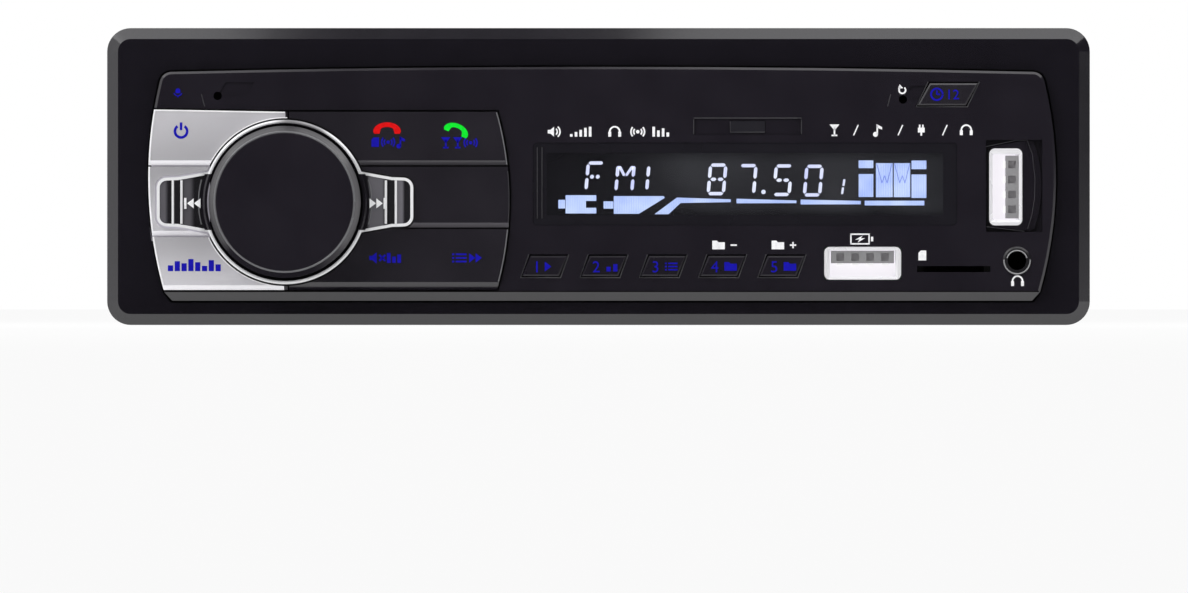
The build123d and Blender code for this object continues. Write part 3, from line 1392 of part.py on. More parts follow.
tab_slit = bend_tab()
inner_w = SLEEVE_W - 2 * SLEEVE_WALL
inner_h = SLEEVE_H - 2 * SLEEVE_WALL
sleeve_side = Plane(origin=(-SLEEVE_W / 2 - 1, DASH_Y, MID_Z), x_dir=(0, 1, 0), z_dir=(1, 0, 0))
with BuildPart() as mounting_sleeve:
    with BuildSketch(facing(-SLEEVE_LENGTH)):
        Rectangle(SLEEVE_W, SLEEVE_H)
    extrude(amount=SLEEVE_LENGTH)
    with BuildSketch(facing(0)):
        Rectangle(SLEEVE_W + 2 * SLEEVE_LIP, SLEEVE_H + 2 * SLEEVE_LIP)
    extrude(amount=SLEEVE_WALL)
    with BuildSketch(facing(-SLEEVE_LENGTH)):
        Rectangle(inner_w, inner_h)
        # guide ribs pressed inwards, which carry the chassis
        with GridLocations(2 * GUIDE_U, inner_h - (inner_h - CHASSIS_H) / 2, 2, 2):
            Rectangle(GUIDE_W, (inner_h - CHASSIS_H) / 2, mode=Mode.SUBTRACT)
    extrude(amount=SLEEVE_LENGTH, mode=Mode.SUBTRACT)
    with BuildSketch(facing(0)):
        Rectangle(inner_w, inner_h)
    extrude(amount=SLEEVE_WALL, mode=Mode.SUBTRACT)
    # bend tabs through the roof and the floor, then through the ends
    with BuildSketch(level(-RING_H)):
        with Locations(*[(0, back) for back in TAB_ROWS]):
            with GridLocations(TAB_PITCH, 0, TAB_COUNT, 1):
                add(tab_slit)
    extrude(amount=2 * RING_H, mode=Mode.SUBTRACT)
    with BuildSketch(sleeve_side):
        with Locations((10.0, 0), (38.0, 0)):
            add(tab_slit, rotation=90)
        with Locations((LATCH_AT, 0)):
            Rectangle(LATCH_LONG, SPRING_H + 1)
    extrude(amount=SLEEVE_W + 2, mode=Mode.SUBTRACT)
save(mounting_sleeve, "mounting_sleeve")

LEAF = 0.4
LEAF_HUG = CHASSIS_W / 2
LEAF_BOW = inner_w / 2 - 0.1
with BuildPart() as lock_springs:
    with BuildSketch(level(-SPRING_H / 2)):
        with BuildLine():
            Polyline(
                (LEAF_HUG, 5),
                (LEAF_HUG + LEAF, 5),
                (LEAF_HUG + LEAF, 10),
                (LEAF_BOW, LATCH_AT - 1.7),
                (SLEEVE_W / 2 + 0.3, LATCH_AT + 1.2),
                (SLEEVE_W / 2 + 0.3, LATCH_AT + 1.9),
                (LEAF_BOW, LATCH_AT + 1.9),
                (LEAF_HUG + LEAF, 36),
                (LEAF_HUG, 36),
                (LEAF_BOW - LEAF, LATCH_AT + 1.5),
                (LEAF_BOW - LEAF, LATCH_AT - 1.5),
                (LEAF_HUG, 10.2),
                close=True,
            )
        make_face()
        mirror(about=Plane.YZ)
    extrude(amount=SPRING_H)
save(lock_springs, "lock_springs")
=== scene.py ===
import math

import bmesh
import bpy
from mathutils import Matrix, Vector


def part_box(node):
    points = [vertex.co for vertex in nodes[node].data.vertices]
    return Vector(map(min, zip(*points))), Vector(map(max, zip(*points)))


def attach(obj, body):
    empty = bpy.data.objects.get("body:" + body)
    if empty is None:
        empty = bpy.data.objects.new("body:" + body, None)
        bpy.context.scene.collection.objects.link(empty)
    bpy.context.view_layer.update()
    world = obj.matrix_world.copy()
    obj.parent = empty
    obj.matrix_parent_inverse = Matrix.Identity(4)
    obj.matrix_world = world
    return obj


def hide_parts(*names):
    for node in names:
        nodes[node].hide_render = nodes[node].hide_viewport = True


# A single-DIN car radio. Offsets and the sizes of signs, beads and grain are in millimetres; an offset (x, z)
# is counted from the middle of a CAD node's box, as seen from the front. Points and the studio's sizes are in
# metres, in the frame's own coordinates.

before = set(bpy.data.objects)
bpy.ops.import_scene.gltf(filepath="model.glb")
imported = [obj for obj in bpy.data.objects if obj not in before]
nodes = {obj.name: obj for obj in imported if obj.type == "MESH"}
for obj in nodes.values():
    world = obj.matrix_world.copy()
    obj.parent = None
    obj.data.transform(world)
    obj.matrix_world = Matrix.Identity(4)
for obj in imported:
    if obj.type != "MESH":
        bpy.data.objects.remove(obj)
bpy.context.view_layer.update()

MM = 0.001
ring_low, ring_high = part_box("trim_ring")
MIDDLE = (ring_low + ring_high) / 2
PRINT = 0.04             # how far printed signs stand out
BLACK = (0.0142, 0.0116, 0.0180)
KEY_BLACK = (0.0190, 0.0163, 0.0228)
WHITE = (1.0, 1.0, 1.0)
LENS_SMOKE = 0.45        # how much of the display's light the lens holds back


# ---- places ----
def spot(node, dx=0.0, dz=0.0):
    """The point on a node's front plane, dx and dz millimetres from its middle."""
    low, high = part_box(node)
    return Vector(((low.x + high.x) / 2 + dx * MM, low.y, (low.z + high.z) / 2 + dz * MM))


def on_nose(node, dx=0.0, dz=0.0):
    """The same point, on the plane of the nose's face."""
    point = spot(node, dx, dz)
    point.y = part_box("front_bezel")[0].y
    return point


def size_of(node):
    low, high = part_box(node)
    return (high - low) / MM


# ---- building blocks of the materials ----
def feed(tree, socket, value):
    """Links a socket to another one, or sets it to a value. Colours are given without their alpha."""
    if isinstance(value, bpy.types.NodeSocket):
        tree.links.new(value, socket)
    else:
        socket.default_value = (*value, 1) if socket.type == "RGBA" else value


def add_node(tree, kind, inputs=None, **settings):
    """The outputs of a new shader node, once it has its settings and its inputs."""
    node = tree.nodes.new(f"ShaderNode{kind}")
    for name, value in settings.items():
        setattr(node, name, value)
    for name, value in (inputs or {}).items():
        feed(tree, node.inputs[name], value)
    return node.outputs


def new_material(name):
    """A material with its node tree and object coordinates."""
    material = bpy.data.materials.new(name)
    material.use_nodes = True
    tree = material.node_tree
    return material, tree, add_node(tree, "TexCoord")["Object"]


def shade(tree, inputs):
    """Sets or links inputs of a material's shader."""
    for name, value in inputs.items():
        feed(tree, tree.nodes["Principled BSDF"].inputs[name], value)


def source(tree, name):
    """The socket that an input of a material's shader is linked to."""
    return tree.nodes["Principled BSDF"].inputs[name].links[0].from_socket


def combine(tree, operation, value, *others):
    """Arithmetic on sockets and numbers, one step for each of the others."""
    for other in others:
        value = add_node(tree, "Math", {0: value, 1: other}, operation=operation)["Value"]
    return value


def product(tree, *factors):
    return combine(tree, "MULTIPLY", *factors)


def magnitude(tree, value):
    return add_node(tree, "Math", {0: value}, operation="ABSOLUTE")["Value"]


def blend(tree, first, second, weight):
    """The first colour where weight is 0, and the second where it is 1."""
    return add_node(tree, "Mix", {"A": first, "B": second, "Factor": weight}, data_type="RGBA")["Result"]


def noise(tree, place, grain, detail=3.0, stretch=(1.0, 1.0, 1.0)):
    """Noise whose spots are about grain millimetres wide, longer along axes with a small stretch."""
    mapped = add_node(tree, "Mapping", {"Scale": stretch, "Vector": place})["Vector"]
    return add_node(tree, "TexNoise", {"Scale": 1 / (grain * MM), "Detail": detail, "Vector": mapped})["Fac"]


def map_range(tree, value, start, end, low, high, **settings):
    limits = {"From Min": start, "From Max": end, "To Min": low, "To Max": high, "Value": value}
    return add_node(tree, "MapRange", limits, **settings)["Result"]


def spread(tree, value, low, high):
    """Maps the middle of a noise to low..high."""
    return map_range(tree, value, 0.3, 0.7, low, high)


def ramp(tree, value, start, end, low=0.0, high=1.0):
    """Goes smoothly from low to high while value goes from start to end."""
    return map_range(tree, value, start, end, low, high, interpolation_type="SMOOTHSTEP")


def tint(tree, value, colour, change):
    """The colour, darker by change where value is low and lighter by it where value is high."""
    dark = [c * (1 - change) for c in colour]
    pale = [min(c * (1 + change), 1) for c in colour]
    return blend(tree, dark, pale, spread(tree, value, 0, 1))


def relief(tree, value, depth):
    """Bumps of a depth in millimetres."""
    bumps = add_node(tree, "Bump", {"Strength": 1.0, "Distance": depth * MM, "Height": value})
    shade(tree, {"Normal": bumps["Normal"]})


def axes_of(tree, vector):
    return add_node(tree, "SeparateXYZ", {"Vector": vector})


def normal_axes(tree):
    return axes_of(tree, add_node(tree, "NewGeometry")["Normal"])


def offset_from(tree, node):
    """Where a point of the object lies, in millimetres from the middle of a node's box."""
    low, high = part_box(node)
    place = next(each for each in tree.nodes if each.type == "TEX_COORD").outputs["Object"]
    offset = add_node(tree, "VectorMath", {0: place, 1: (low + high) / 2}, operation="SUBTRACT")["Vector"]
    return add_node(tree, "VectorMath", {0: offset, "Scale": 1 / MM}, operation="SCALE")["Vector"]


def offsets(tree, node):
    """The X, Y and Z of that offset."""
    return axes_of(tree, offset_from(tree, node))


def reach_of(tree, node):
    """Distance in millimetres from the axis through the middle of a round node."""
    flat = add_node(tree, "VectorMath", {0: offset_from(tree, node), 1: (1, 0, 1)}, operation="MULTIPLY")
    return add_node(tree, "VectorMath", {0: flat["Vector"]}, operation="LENGTH")["Value"]


def glow(material, colour, strength):
    """Light given off by a finish."""
    shade(material.node_tree, {"Emission Color": colour, "Emission Strength": strength})
    return material


def repaint(material, weight, colour, light=0.0):
    """Puts another colour on a finish where weight is 1, and lets it shine a little."""
    tree = material.node_tree
    if light:
        glow(material, colour, product(tree, weight, light))
    shade(tree, {"Base Color": blend(tree, source(tree, "Base Color"), colour, weight)})
    return material


def polish_bevels(material, colour, light):
    """Paints highlights on the bevels that look down and forward: a lighter colour there, which glows a
    little.
    """
    tree = material.node_tree
    normal = normal_axes(tree)
    start, full = -0.62, -0.68
    bevel_highlight = product(tree, ramp(tree, normal["Z"], start, full), ramp(tree, normal["Y"], start, full))
    return repaint(material, bevel_highlight, colour, light)


def surface(name, colour, roughness, specular=0.5, metallic=0.0, grain=0.3, depth=0.0005, change=0.12,
            stretch=(1.0, 1.0, 1.0), cloud=9.0):
    """A finish with fine grain in its relief, and broader clouds in its colour and gloss."""
    material, tree, place = new_material(name)
    broad = noise(tree, place, cloud, 4.0, stretch)
    shade(tree, {
        "Base Color": tint(tree, broad, colour, change),
        "Roughness": spread(tree, broad, roughness * 0.88, roughness * 1.12),
        "Metallic": metallic,
        "Specular IOR Level": specular,
    })
    relief(tree, noise(tree, place, grain, 2.0, stretch), depth)
    return material


# ---- materials ----
def display_ground():
    """The unlit part of the display, with a faint glow of its light guide, stronger round the figures."""
    material, tree, place = new_material("display_ground")
    bleed = 5.6
    cloud = noise(tree, place, 16.0, 1.0)
    at = offsets(tree, "lcd_panel")
    field = product(tree, ramp(tree, at["X"], -25, -8), ramp(tree, at["X"], 44, 30, 0.7),
                    ramp(tree, at["Z"], 6.8, 3.6, 0.22), ramp(tree, at["Z"], -6.5, -4.0, 0.1))
    shade(tree, {
        "Base Color": tint(tree, cloud, (0.010, 0.011, 0.013), 0.3),
        "Emission Color": tint(tree, cloud, (0.0100, 0.0105, 0.0115), 0.45),
        "Emission Strength": combine(tree, "ADD", product(tree, field, bleed), 1.0),
        "Roughness": spread(tree, cloud, 0.25, 0.4),
    })
    relief(tree, noise(tree, place, 0.4), 0.002)
    return material


def lit_segment(name, low, high):
    """Display segments: pale blue light, with fine upright lines and softer and brighter stretches."""
    material, tree, place = new_material(name)
    line_pitch = 0.45
    repeat = 0.314       # metres after which a wave texture of scale 1 repeats
    gain = 0.95
    waves = {"Scale": repeat / (line_pitch * MM), "Distortion": 0.0, "Vector": place}
    lines = add_node(tree, "TexWave", waves)["Fac"]
    cloud = noise(tree, place, 6.0, 2.0)
    weight = combine(tree, "ADD", product(tree, lines, 0.4), spread(tree, cloud, 0.0, 0.7))
    light = blend(tree, low, high, weight)
    shade(tree, {"Base Color": light, "Roughness": spread(tree, cloud, 0.4, 0.6)})
    relief(tree, noise(tree, place, 0.5), 0.001)
    return glow(material, light, gain / (1 - LENS_SMOKE) ** 2)


def ink(name, colour, light):
    """Printed ink: slightly uneven, with a rough edge in its relief, and lit from behind on the keys; on the
    nose its glow is painted.
    """
    paint = surface(name, colour, 0.5, specular=0.1, grain=0.12, depth=0.003, change=0.16, cloud=0.9)
    return glow(paint, colour, light)


def edge_finish(name, colour):
    return surface(name, colour, 0.3, specular=0.8, grain=0.2, depth=0.001)


def key_finish(name):
    return surface(name, KEY_BLACK, 0.22, specular=0.8, depth=0.0004)


def ring_plating():
    """Rocker ring plating, black on its inner edge and roots; a painted glow, and a painted dark crown."""
    material = surface("ring_plating", (0.84, 0.84, 0.86), 0.22, specular=0.8, metallic=0.3, grain=1.5,
                       change=0.04)
    tree = material.node_tree
    reach, at = reach_of(tree, "seek_ring"), offsets(tree, "seek_ring")
    inner_edge, root_end, root_height = 15.1, 16.25, 5.35
    root = product(tree, combine(tree, "LESS_THAN", reach, root_end),
                   combine(tree, "LESS_THAN", magnitude(tree, at["Z"]), root_height))
    black = combine(tree, "MAXIMUM", root, combine(tree, "LESS_THAN", reach, inner_edge))
    plated = combine(tree, "LESS_THAN", black, 0.5)
    # Painted highlight: the plating glows white, more towards the ring's outer edge.
    glow(material, WHITE, product(tree, plated, ramp(tree, reach, 16.4, 17.4, 0.06, 0.26)))
    # Painted dark reflection on the ring's crown.
    painted_dark_crown = product(tree, ramp(tree, at["X"], -3, 0.5), ramp(tree, at["X"], 10, 6),
                    ramp(tree, at["Z"], 11.5, 14))
    repaint(material, painted_dark_crown, (0.26, 0.255, 0.27))
    return repaint(material, black, BLACK)


def port_plastic():
    """Grey tongue ends with dark pockets, and white mouldings deep in the port with a painted glow."""
    material = surface("port_plastic", (0.30, 0.295, 0.305), 0.38, depth=0.002, change=0.06)
    tree = material.node_tree
    depth, back = offsets(tree, "usb_tongues")["Y"], size_of("usb_tongues").y / 2
    front = -back
    # Painted glow: the mouldings deep in the port give off light, though no lamp is there.
    glow(material, (0.60, 0.585, 0.615), ramp(tree, depth, back - 4.5, back - 2.6))
    return repaint(material, ramp(tree, depth, front + 0.1, front + 0.5), (0.46, 0.445, 0.465))


def inlay_gloss():
    """Black plastic with soft upright reflections painted into the arms' cells."""
    material = surface("inlay_plastic", (0.016, 0.015, 0.018), 0.2, specular=0.7, grain=0.6)
    tree = material.node_tree
    across = offsets(tree, "seek_inlays")["X"]
    bands = ((-24.2, -23.9, -23.1, -22.2, 0.6), (-19.9, -19.2, -18.3, -17.2, 0.5),
             (15.6, 16.2, 18.5, 19.4, 0.8), (21.1, 21.4, 22.3, 22.9, 0.9))
    painted_glints = [product(tree, ramp(tree, across, start, full, 0.0, share), ramp(tree, across, end, fade))
              for start, full, fade, end, share in bands]
    return repaint(material, combine(tree, "ADD", *painted_glints), (0.19, 0.183, 0.205))


def lens_glass():
    """Smoked clear plastic over the display, with an opaque printed border."""
    material, tree, place = new_material("lens_glass")
    smear = noise(tree, place, 14.0)
    at, half = offsets(tree, "display_lens"), size_of("display_lens") / 2
    side_border, top_border = 2.6, 1.9
    border = [combine(tree, "GREATER_THAN", magnitude(tree, at[axis]), clear)
              for axis, clear in (("X", half.x - side_border), ("Z", half.z - top_border))]
    shade(tree, {
        "Base Color": tint(tree, smear, (0.0135, 0.0125, 0.0165), 0.1),
        "Roughness": spread(tree, smear, 0.05, 0.09),
        "Alpha": combine(tree, "MAXIMUM", *border, LENS_SMOKE),
    })
    relief(tree, noise(tree, place, 3.0), 0.0005)
    return material


def knob_gloss():
    """Satin black, with a painted highlight on its bevel, weaker at its foot, and a painted glow at its
    right.
    """
    material = surface("knob_plastic", BLACK, 0.24, specular=0.6)
    tree = material.node_tree
    normal = normal_axes(tree)
    slope = product(tree, ramp(tree, normal["Y"], -0.55, -0.65), ramp(tree, normal["Y"], -0.95, -0.85))
    side = product(tree, ramp(tree, normal["Z"], -0.50, -0.36), ramp(tree, normal["Z"], 0.62, 0.40, 0.65))
    foot = ramp(tree, reach_of(tree, "knob_skirt"), 14.5, 13.8, 0.45)
    # Painted highlight: the bevel is lighter where it faces up or sideways, fainter at its foot.
    repaint(material, product(tree, slope, side, foot), (0.083, 0.081, 0.086))
    # Painted glow on the bevel's right side.
    right = product(tree, slope, ramp(tree, normal["X"], 0.25, 0.60))
    return glow(material, (1.0, 0.97, 1.0), product(tree, right, 0.045))


def silver(node, foot_shade, head_shade, bare=0.0):
    """Silver paint with painted light and shade: one brightness at a key's foot, another at its head.

    Where bare isn't 0, that many millimetres at the key's right end stay black.
    """
    grey = [0.66 * c for c in (1.0, 0.98, 1.03)]
    material = surface(f"silver_{node}", [c * head_shade for c in grey], 0.42, metallic=0.15, grain=0.2,
                       depth=0.0008, change=0.03)
    tree = material.node_tree
    at, half = offsets(tree, node), size_of(node) / 2
    # Painted shade: the key's brightness changes from its head to its foot.
    repaint(material, ramp(tree, at["Z"], half.z, -half.z), [c * foot_shade for c in grey])
    polish_bevels(material, (0.92, 0.91, 0.94), 0.22)
    if bare:
        end = combine(tree, "GREATER_THAN", at["X"], half.x - bare)
        painted = combine(tree, "LESS_THAN", end, 0.5)
        shade(tree, {"Emission Strength": product(tree, source(tree, "Emission Strength"), painted)})
        repaint(material, end, KEY_BLACK)
    return material


def silver_recess(material):
    """Silver paint on the nose under the rocker's left arm; a strong painted glow makes it show in the seams.
    """
    tree = material.node_tree
    at = offsets(tree, "seek_ring")
    left, right, height, seam_glow = -25.6, -14.4, 7.4, 8.0
    face, sunk_by = -size_of("front_bezel").y / 2, 1.0
    sunk = combine(tree, "GREATER_THAN", offsets(tree, "front_bezel")["Y"], face + sunk_by)
    under_arm = product(tree, sunk, combine(tree, "GREATER_THAN", at["X"], left),
                        combine(tree, "LESS_THAN", at["X"], right),
                        combine(tree, "LESS_THAN", magnitude(tree, at["Z"]), height))
    bevel_highlight = source(tree, "Emission Strength")
    # Painted glow: the silver in the shaded seams gives off light.
    shade(tree, {"Emission Strength": combine(tree, "MAXIMUM", bevel_highlight, product(tree, under_arm, seam_glow))})
    return repaint(material, under_arm, (0.60, 0.59, 0.62))


def galvanised(name, colour, roughness):
    """Zinc-coated sheet with its crystal pattern."""
    material, tree, place = new_material(name)
    crystals = add_node(tree, "TexVoronoi", {"Scale": 1 / (3.2 * MM), "Vector": place})["Color"]
    facet = add_node(tree, "SeparateColor", {"Color": crystals})
    shade(tree, {
        "Base Color": tint(tree, facet["Red"], colour, 0.07),
        "Roughness": spread(tree, facet["Green"], roughness * 0.94, roughness * 1.06),
        "Metallic": 0.8,
    })
    relief(tree, noise(tree, place, 0.6), 0.003)
    return material


def phono_sockets():
    """Dark plastic behind the rear panel, nickel barrels in front of it."""
    material = surface("socket_plastic", (0.020, 0.020, 0.021), 0.42, depth=0.003)
    tree = material.node_tree
    panel = size_of("rear_panel").y / 2
    barrel = ramp(tree, offsets(tree, "rear_panel")["Y"], panel + 0.1, panel + 0.15)
    shade(tree, {"Metallic": product(tree, barrel, 0.95)})
    return repaint(material, barrel, (0.62, 0.60, 0.56))


def circuit_board():
    """Green lacquer over fine copper tracks."""
    material, tree, place = new_material("circuit_board")
    tracks = add_node(tree, "TexBrick", {
        "Scale": 1 / (9.0 * MM), "Mortar Size": 0.03, "Vector": place,
        "Color1": (0.006, 0.060, 0.022), "Color2": (0.008, 0.072, 0.026), "Mortar": (0.025, 0.150, 0.050),
    })
    gloss = spread(tree, noise(tree, place, 4.0), 0.3, 0.45)
    shade(tree, {"Base Color": tracks["Color"], "Roughness": gloss})
    relief(tree, tracks["Fac"], 0.02)
    return material


screw_steel = surface("screw_steel", (0.42, 0.41, 0.37), 0.33, metallic=1.0, depth=0.002, change=0.1)
ring_plated = ring_plating()
segment_light = lit_segment("segment_light", (0.52, 0.56, 0.97), (0.86, 0.90, 1.0))
picture_light = lit_segment("picture_light", (0.33, 0.45, 0.92), (0.60, 0.72, 1.0))
wave_light = lit_segment("wave_light", (0.16, 0.22, 0.60), (0.24, 0.32, 0.75))
blue_ink = ink("blue_ink", (0.006, 0.004, 0.33), 0.25)
white_ink = ink("white_ink", (0.86, 0.86, 0.88), 0.12)
red_ink = ink("red_ink", (0.64, 0.003, 0.004), 0.2)
green_ink = ink("green_ink", (0.003, 0.72, 0.026), 0.2)
# White beads that glow, along the silver parts' edges: painted highlights.
glowing_edge_highlight = glow(edge_finish("glowing_edge_highlight", (0.90, 0.89, 0.92)), WHITE, 0.12)
# Edge beads in a grey lighter than the black plastic they stand on: painted highlights.
edge_plastic = edge_finish("edge_plastic", (0.055, 0.053, 0.060))
# Pale grey beads on black edges: painted highlights.
pale_edge_highlight = edge_finish("pale_edge_highlight", (0.17, 0.17, 0.18))
# A light grey for the audio socket's rim: painted highlights.
white_edge_highlight = edge_finish("white_edge_highlight", (0.32, 0.32, 0.33))
# The nose's black plastic, with painted highlights on its bevels that look down and forward.
highlighted_bezel = polish_bevels(surface("bezel_plastic", BLACK, 0.22, specular=0.7), (0.0245, 0.0235, 0.0265), 0.1)
rim_steel = surface("rim_steel", (0.90, 0.895, 0.92), 0.28, specular=0.8, metallic=0.2, grain=0.8,
                    depth=0.001, change=0.03)
port_contacts = surface("port_contacts", (0.85, 0.84, 0.82), 0.3, metallic=0.2, grain=0.4, depth=0.001)

FINISHES = {
    "trim_ring": surface("ring_plastic", (0.0090, 0.0076, 0.0118), 0.13, specular=0.85),
    "front_bezel usb_insert": silver_recess(highlighted_bezel),
    # The call key and the right plate get painted highlights on their down-facing bevels.
    "call_key": polish_bevels(key_finish("call_key_plastic"), (0.056, 0.053, 0.060), 0.16),
    "right_plate": polish_bevels(key_finish("plate_plastic_highlighted"), (0.095, 0.090, 0.100), 0.36),
    "function_key clock_key": key_finish("key_plastic"),
    "preset_key_1 preset_key_2 preset_key_3 preset_key_4 preset_key_5":
        surface("small_key_plastic", BLACK, 0.28, specular=0.4, depth=0.0004),
    "knob_skirt knob_cap": knob_gloss(),
    "power_key": silver("power_key", 0.77, 0.98, 0.4),
    "left_plate": silver("left_plate", 0.97, 0.66),
    "sound_key": silver("sound_key", 1.19, 0.78, 0.65),
    "seek_ring": ring_plated,
    "seek_inlays": inlay_gloss(),
    "jack_bush": surface("bush_plastic", (0.012, 0.011, 0.014), 0.3, specular=1.0),
    "display_lens": lens_glass(),
    "lcd_panel": display_ground(),
    "backlight_guide": surface("guide_plastic", (0.62, 0.64, 0.66), 0.3, grain=0.5, depth=0.002),
    "board_lamps": surface("lamp_resin", (0.60, 0.55, 0.30), 0.35, depth=0.002),
    "remote_window remote_sensor":
        surface("window_plastic", (0.020, 0.019, 0.024), 0.12, specular=0.6, grain=1.0),
    "usb_tongues": port_plastic(),
    "audio_jack card_reader key_switches amplifier_chip processor_chip microphone":
        surface("inner_plastic", (0.013, 0.013, 0.014), 0.5, depth=0.004),
    "encoder_shaft encoder_body encoder_plunger":
        surface("shaft_metal", (0.50, 0.50, 0.49), 0.32, metallic=1.0, grain=0.2, depth=0.002),
    # Painted glow: the ports' steel rims give off white light.
    "usb_shells": glow(rim_steel, WHITE, 0.10),
    "tuner_can wireless_module":
        surface("plated_steel", (0.88, 0.88, 0.90), 0.22, metallic=0.75, grain=0.8, depth=0.001, change=0.04),
    "chassis_tray top_cover rear_panel": galvanised("zinc_steel", (0.46, 0.47, 0.49), 0.42),
    "mounting_sleeve": galvanised("sleeve_steel", (0.40, 0.41, 0.43), 0.38),
    "lock_springs": surface("spring_steel", (0.36, 0.35, 0.34), 0.34, metallic=1.0, grain=0.4, depth=0.002,
                            stretch=(1.0, 0.15, 1.0)),
    "board_screws cover_screws chassis_screws rear_stud": screw_steel,
    # Painted glow: the ports' contacts give off white light.
    "usb_contacts": glow(port_contacts, WHITE, 0.5),
    "connector_pins": surface("contact_gold", (0.62, 0.44, 0.16), 0.28, metallic=1.0, grain=0.4, depth=0.001),
    "front_board main_board": circuit_board(),
    "capacitors": surface("sleeve_film", (0.012, 0.016, 0.040), 0.3, grain=0.5, depth=0.002),
    "power_choke": surface("winding_copper", (0.45, 0.17, 0.06), 0.35, metallic=0.8, grain=0.5, depth=0.05),
    "power_connector board_header":
        surface("connector_plastic", (0.016, 0.016, 0.017), 0.45, grain=0.25, depth=0.006),
    "fuse": surface("fuse_plastic", (0.60, 0.07, 0.03), 0.3, grain=0.5, depth=0.002),
    "line_out_sockets": phono_sockets(),
    "antenna_socket": surface("nickel", (0.60, 0.58, 0.54), 0.27, metallic=0.9, grain=0.5, depth=0.002,
                              change=0.05),
    "heat_sink": surface("aluminium", (0.50, 0.51, 0.52), 0.38, metallic=1.0, grain=0.35, depth=0.006,
                         stretch=(1.0, 1.0, 0.04)),
}


def finish_nodes():
    for names, material in FINISHES.items():
        for name in names.split():
            nodes[name].data.materials.clear()
            nodes[name].data.materials.append(material)


finish_nodes()


# ---- flat shapes: closed outlines in millimetres ----
def box_shape(left, bottom, right, top):
    return [(left, bottom), (right, bottom), (right, top), (left, top)]


def stroke(start, end, wide):
    """A straight stroke of that width."""
    start, end = Vector(start), Vector(end)
    along = (end - start).normalized() * wide / 2
    across = Vector((-along.y, along.x))
    return [tuple(p) for p in (start + across, start - across, end - across, end + across)]


def arc(radius, start, end, steps, centre=(0.0, 0.0), tall=None):
    """Points from one angle to another, in degrees; tall is the upright radius where that differs."""
    turns = [math.radians(start + (end - start) * i / steps) for i in range(steps + 1)]
    return [(centre[0] + radius * math.cos(a), centre[1] + (tall or radius) * math.sin(a)) for a in turns]


def arc_stroke(centre, radius, start, end, wide):
    """A stroke along an arc."""
    steps = max(6, int(abs(end - start) / 10))
    outer, inner = radius + wide / 2, radius - wide / 2
    return arc(outer, start, end, steps, centre) + arc(inner, end, start, steps, centre)


def disc(centre, radius):
    return arc(radius, 0, 360, 20, centre)[:-1]


def moved(shapes, dx=0.0, dz=0.0, scale=1.0, turn=0.0):
    """Copies of the outlines, turned in degrees, scaled and moved."""
    c, s = math.cos(math.radians(turn)) * scale, math.sin(math.radians(turn)) * scale
    return [[(dx + x * c - z * s, dz + x * s + z * c) for x, z in shape] for shape in shapes]


# ---- pieces ----
def piece_of(name, data, material, body):
    """An object of mesh data that rides on a body."""
    data.materials.append(material)
    piece = bpy.data.objects.new(name, data)
    bpy.context.scene.collection.objects.link(piece)
    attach(piece, body)
    return piece


def mesh_data(name, mesh):
    """A bmesh, made into mesh data."""
    data = bpy.data.meshes.new(name)
    mesh.to_mesh(data)
    mesh.free()
    return data


def wires(name, paths, radius, closed=False, rounds=2):
    """Mesh data of round wires of a radius in millimetres along the paths."""
    curve = bpy.data.curves.new(name, "CURVE")
    curve.dimensions = "3D"
    curve.bevel_depth = radius * MM
    curve.bevel_resolution = rounds
    curve.use_fill_caps = True
    for path in paths:
        spline = curve.splines.new("POLY")
        spline.points.add(len(path) - 1)
        for point, place in zip(spline.points, path):
            point.co = (*place, 1)
        spline.use_cyclic_u = closed
    shape = bpy.data.objects.new(name, curve)
    data = bpy.data.meshes.new_from_object(shape)
    bpy.data.objects.remove(shape)
    return data


def placed(at, points, out=0.0):
    """Flat points, put on the plane through the point at, or out millimetres in front of it."""
    return [(at.x + x * MM, at.y - out * MM, at.z + z * MM) for x, z in points]


def raised(name, shapes, at, material, body="radio", thick=PRINT):
    """One mesh of the outlines, lying on the plane through the point at and standing thick mm out of it."""
    mesh = bmesh.new()
    sunk = 0.01
    for shape in shapes:
        area = sum(a[0] * b[1] - b[0] * a[1] for a, b in zip(shape, shape[1:] + shape[:1]))
        loop = shape if area > 0 else shape[::-1]
        front, back = ([mesh.verts.new(p) for p in placed(at, loop, out)] for out in (thick, -sunk))
        mesh.faces.new(front)
        mesh.faces.new(back[::-1])
        for i in range(len(loop)):
            j = (i + 1) % len(loop)
            mesh.faces.new((front[i], back[i], back[j], front[j]))
    piece_of(name, mesh_data(name, mesh), material, body)


def bead(name, paths, at, radius, material, body="radio", closed=False):
    """Fine rounded beads along flat paths, half sunk into the plane through the point at."""
    piece_of(name, wires(name, [placed(at, path) for path in paths], radius, closed), material, body)


# ---- screws and stud ----
def merged_copy(node):
    """A node's mesh in the frame's coordinates, with the corners of neighbouring faces joined."""
    mesh = bmesh.new()
    mesh.from_mesh(nodes[node].data)
    mesh.transform(nodes[node].matrix_world)
    bmesh.ops.remove_doubles(mesh, verts=mesh.verts, dist=0.002 * MM)
    bmesh.ops.dissolve_limit(mesh, angle_limit=0.01, verts=mesh.verts, edges=mesh.edges)
    return mesh


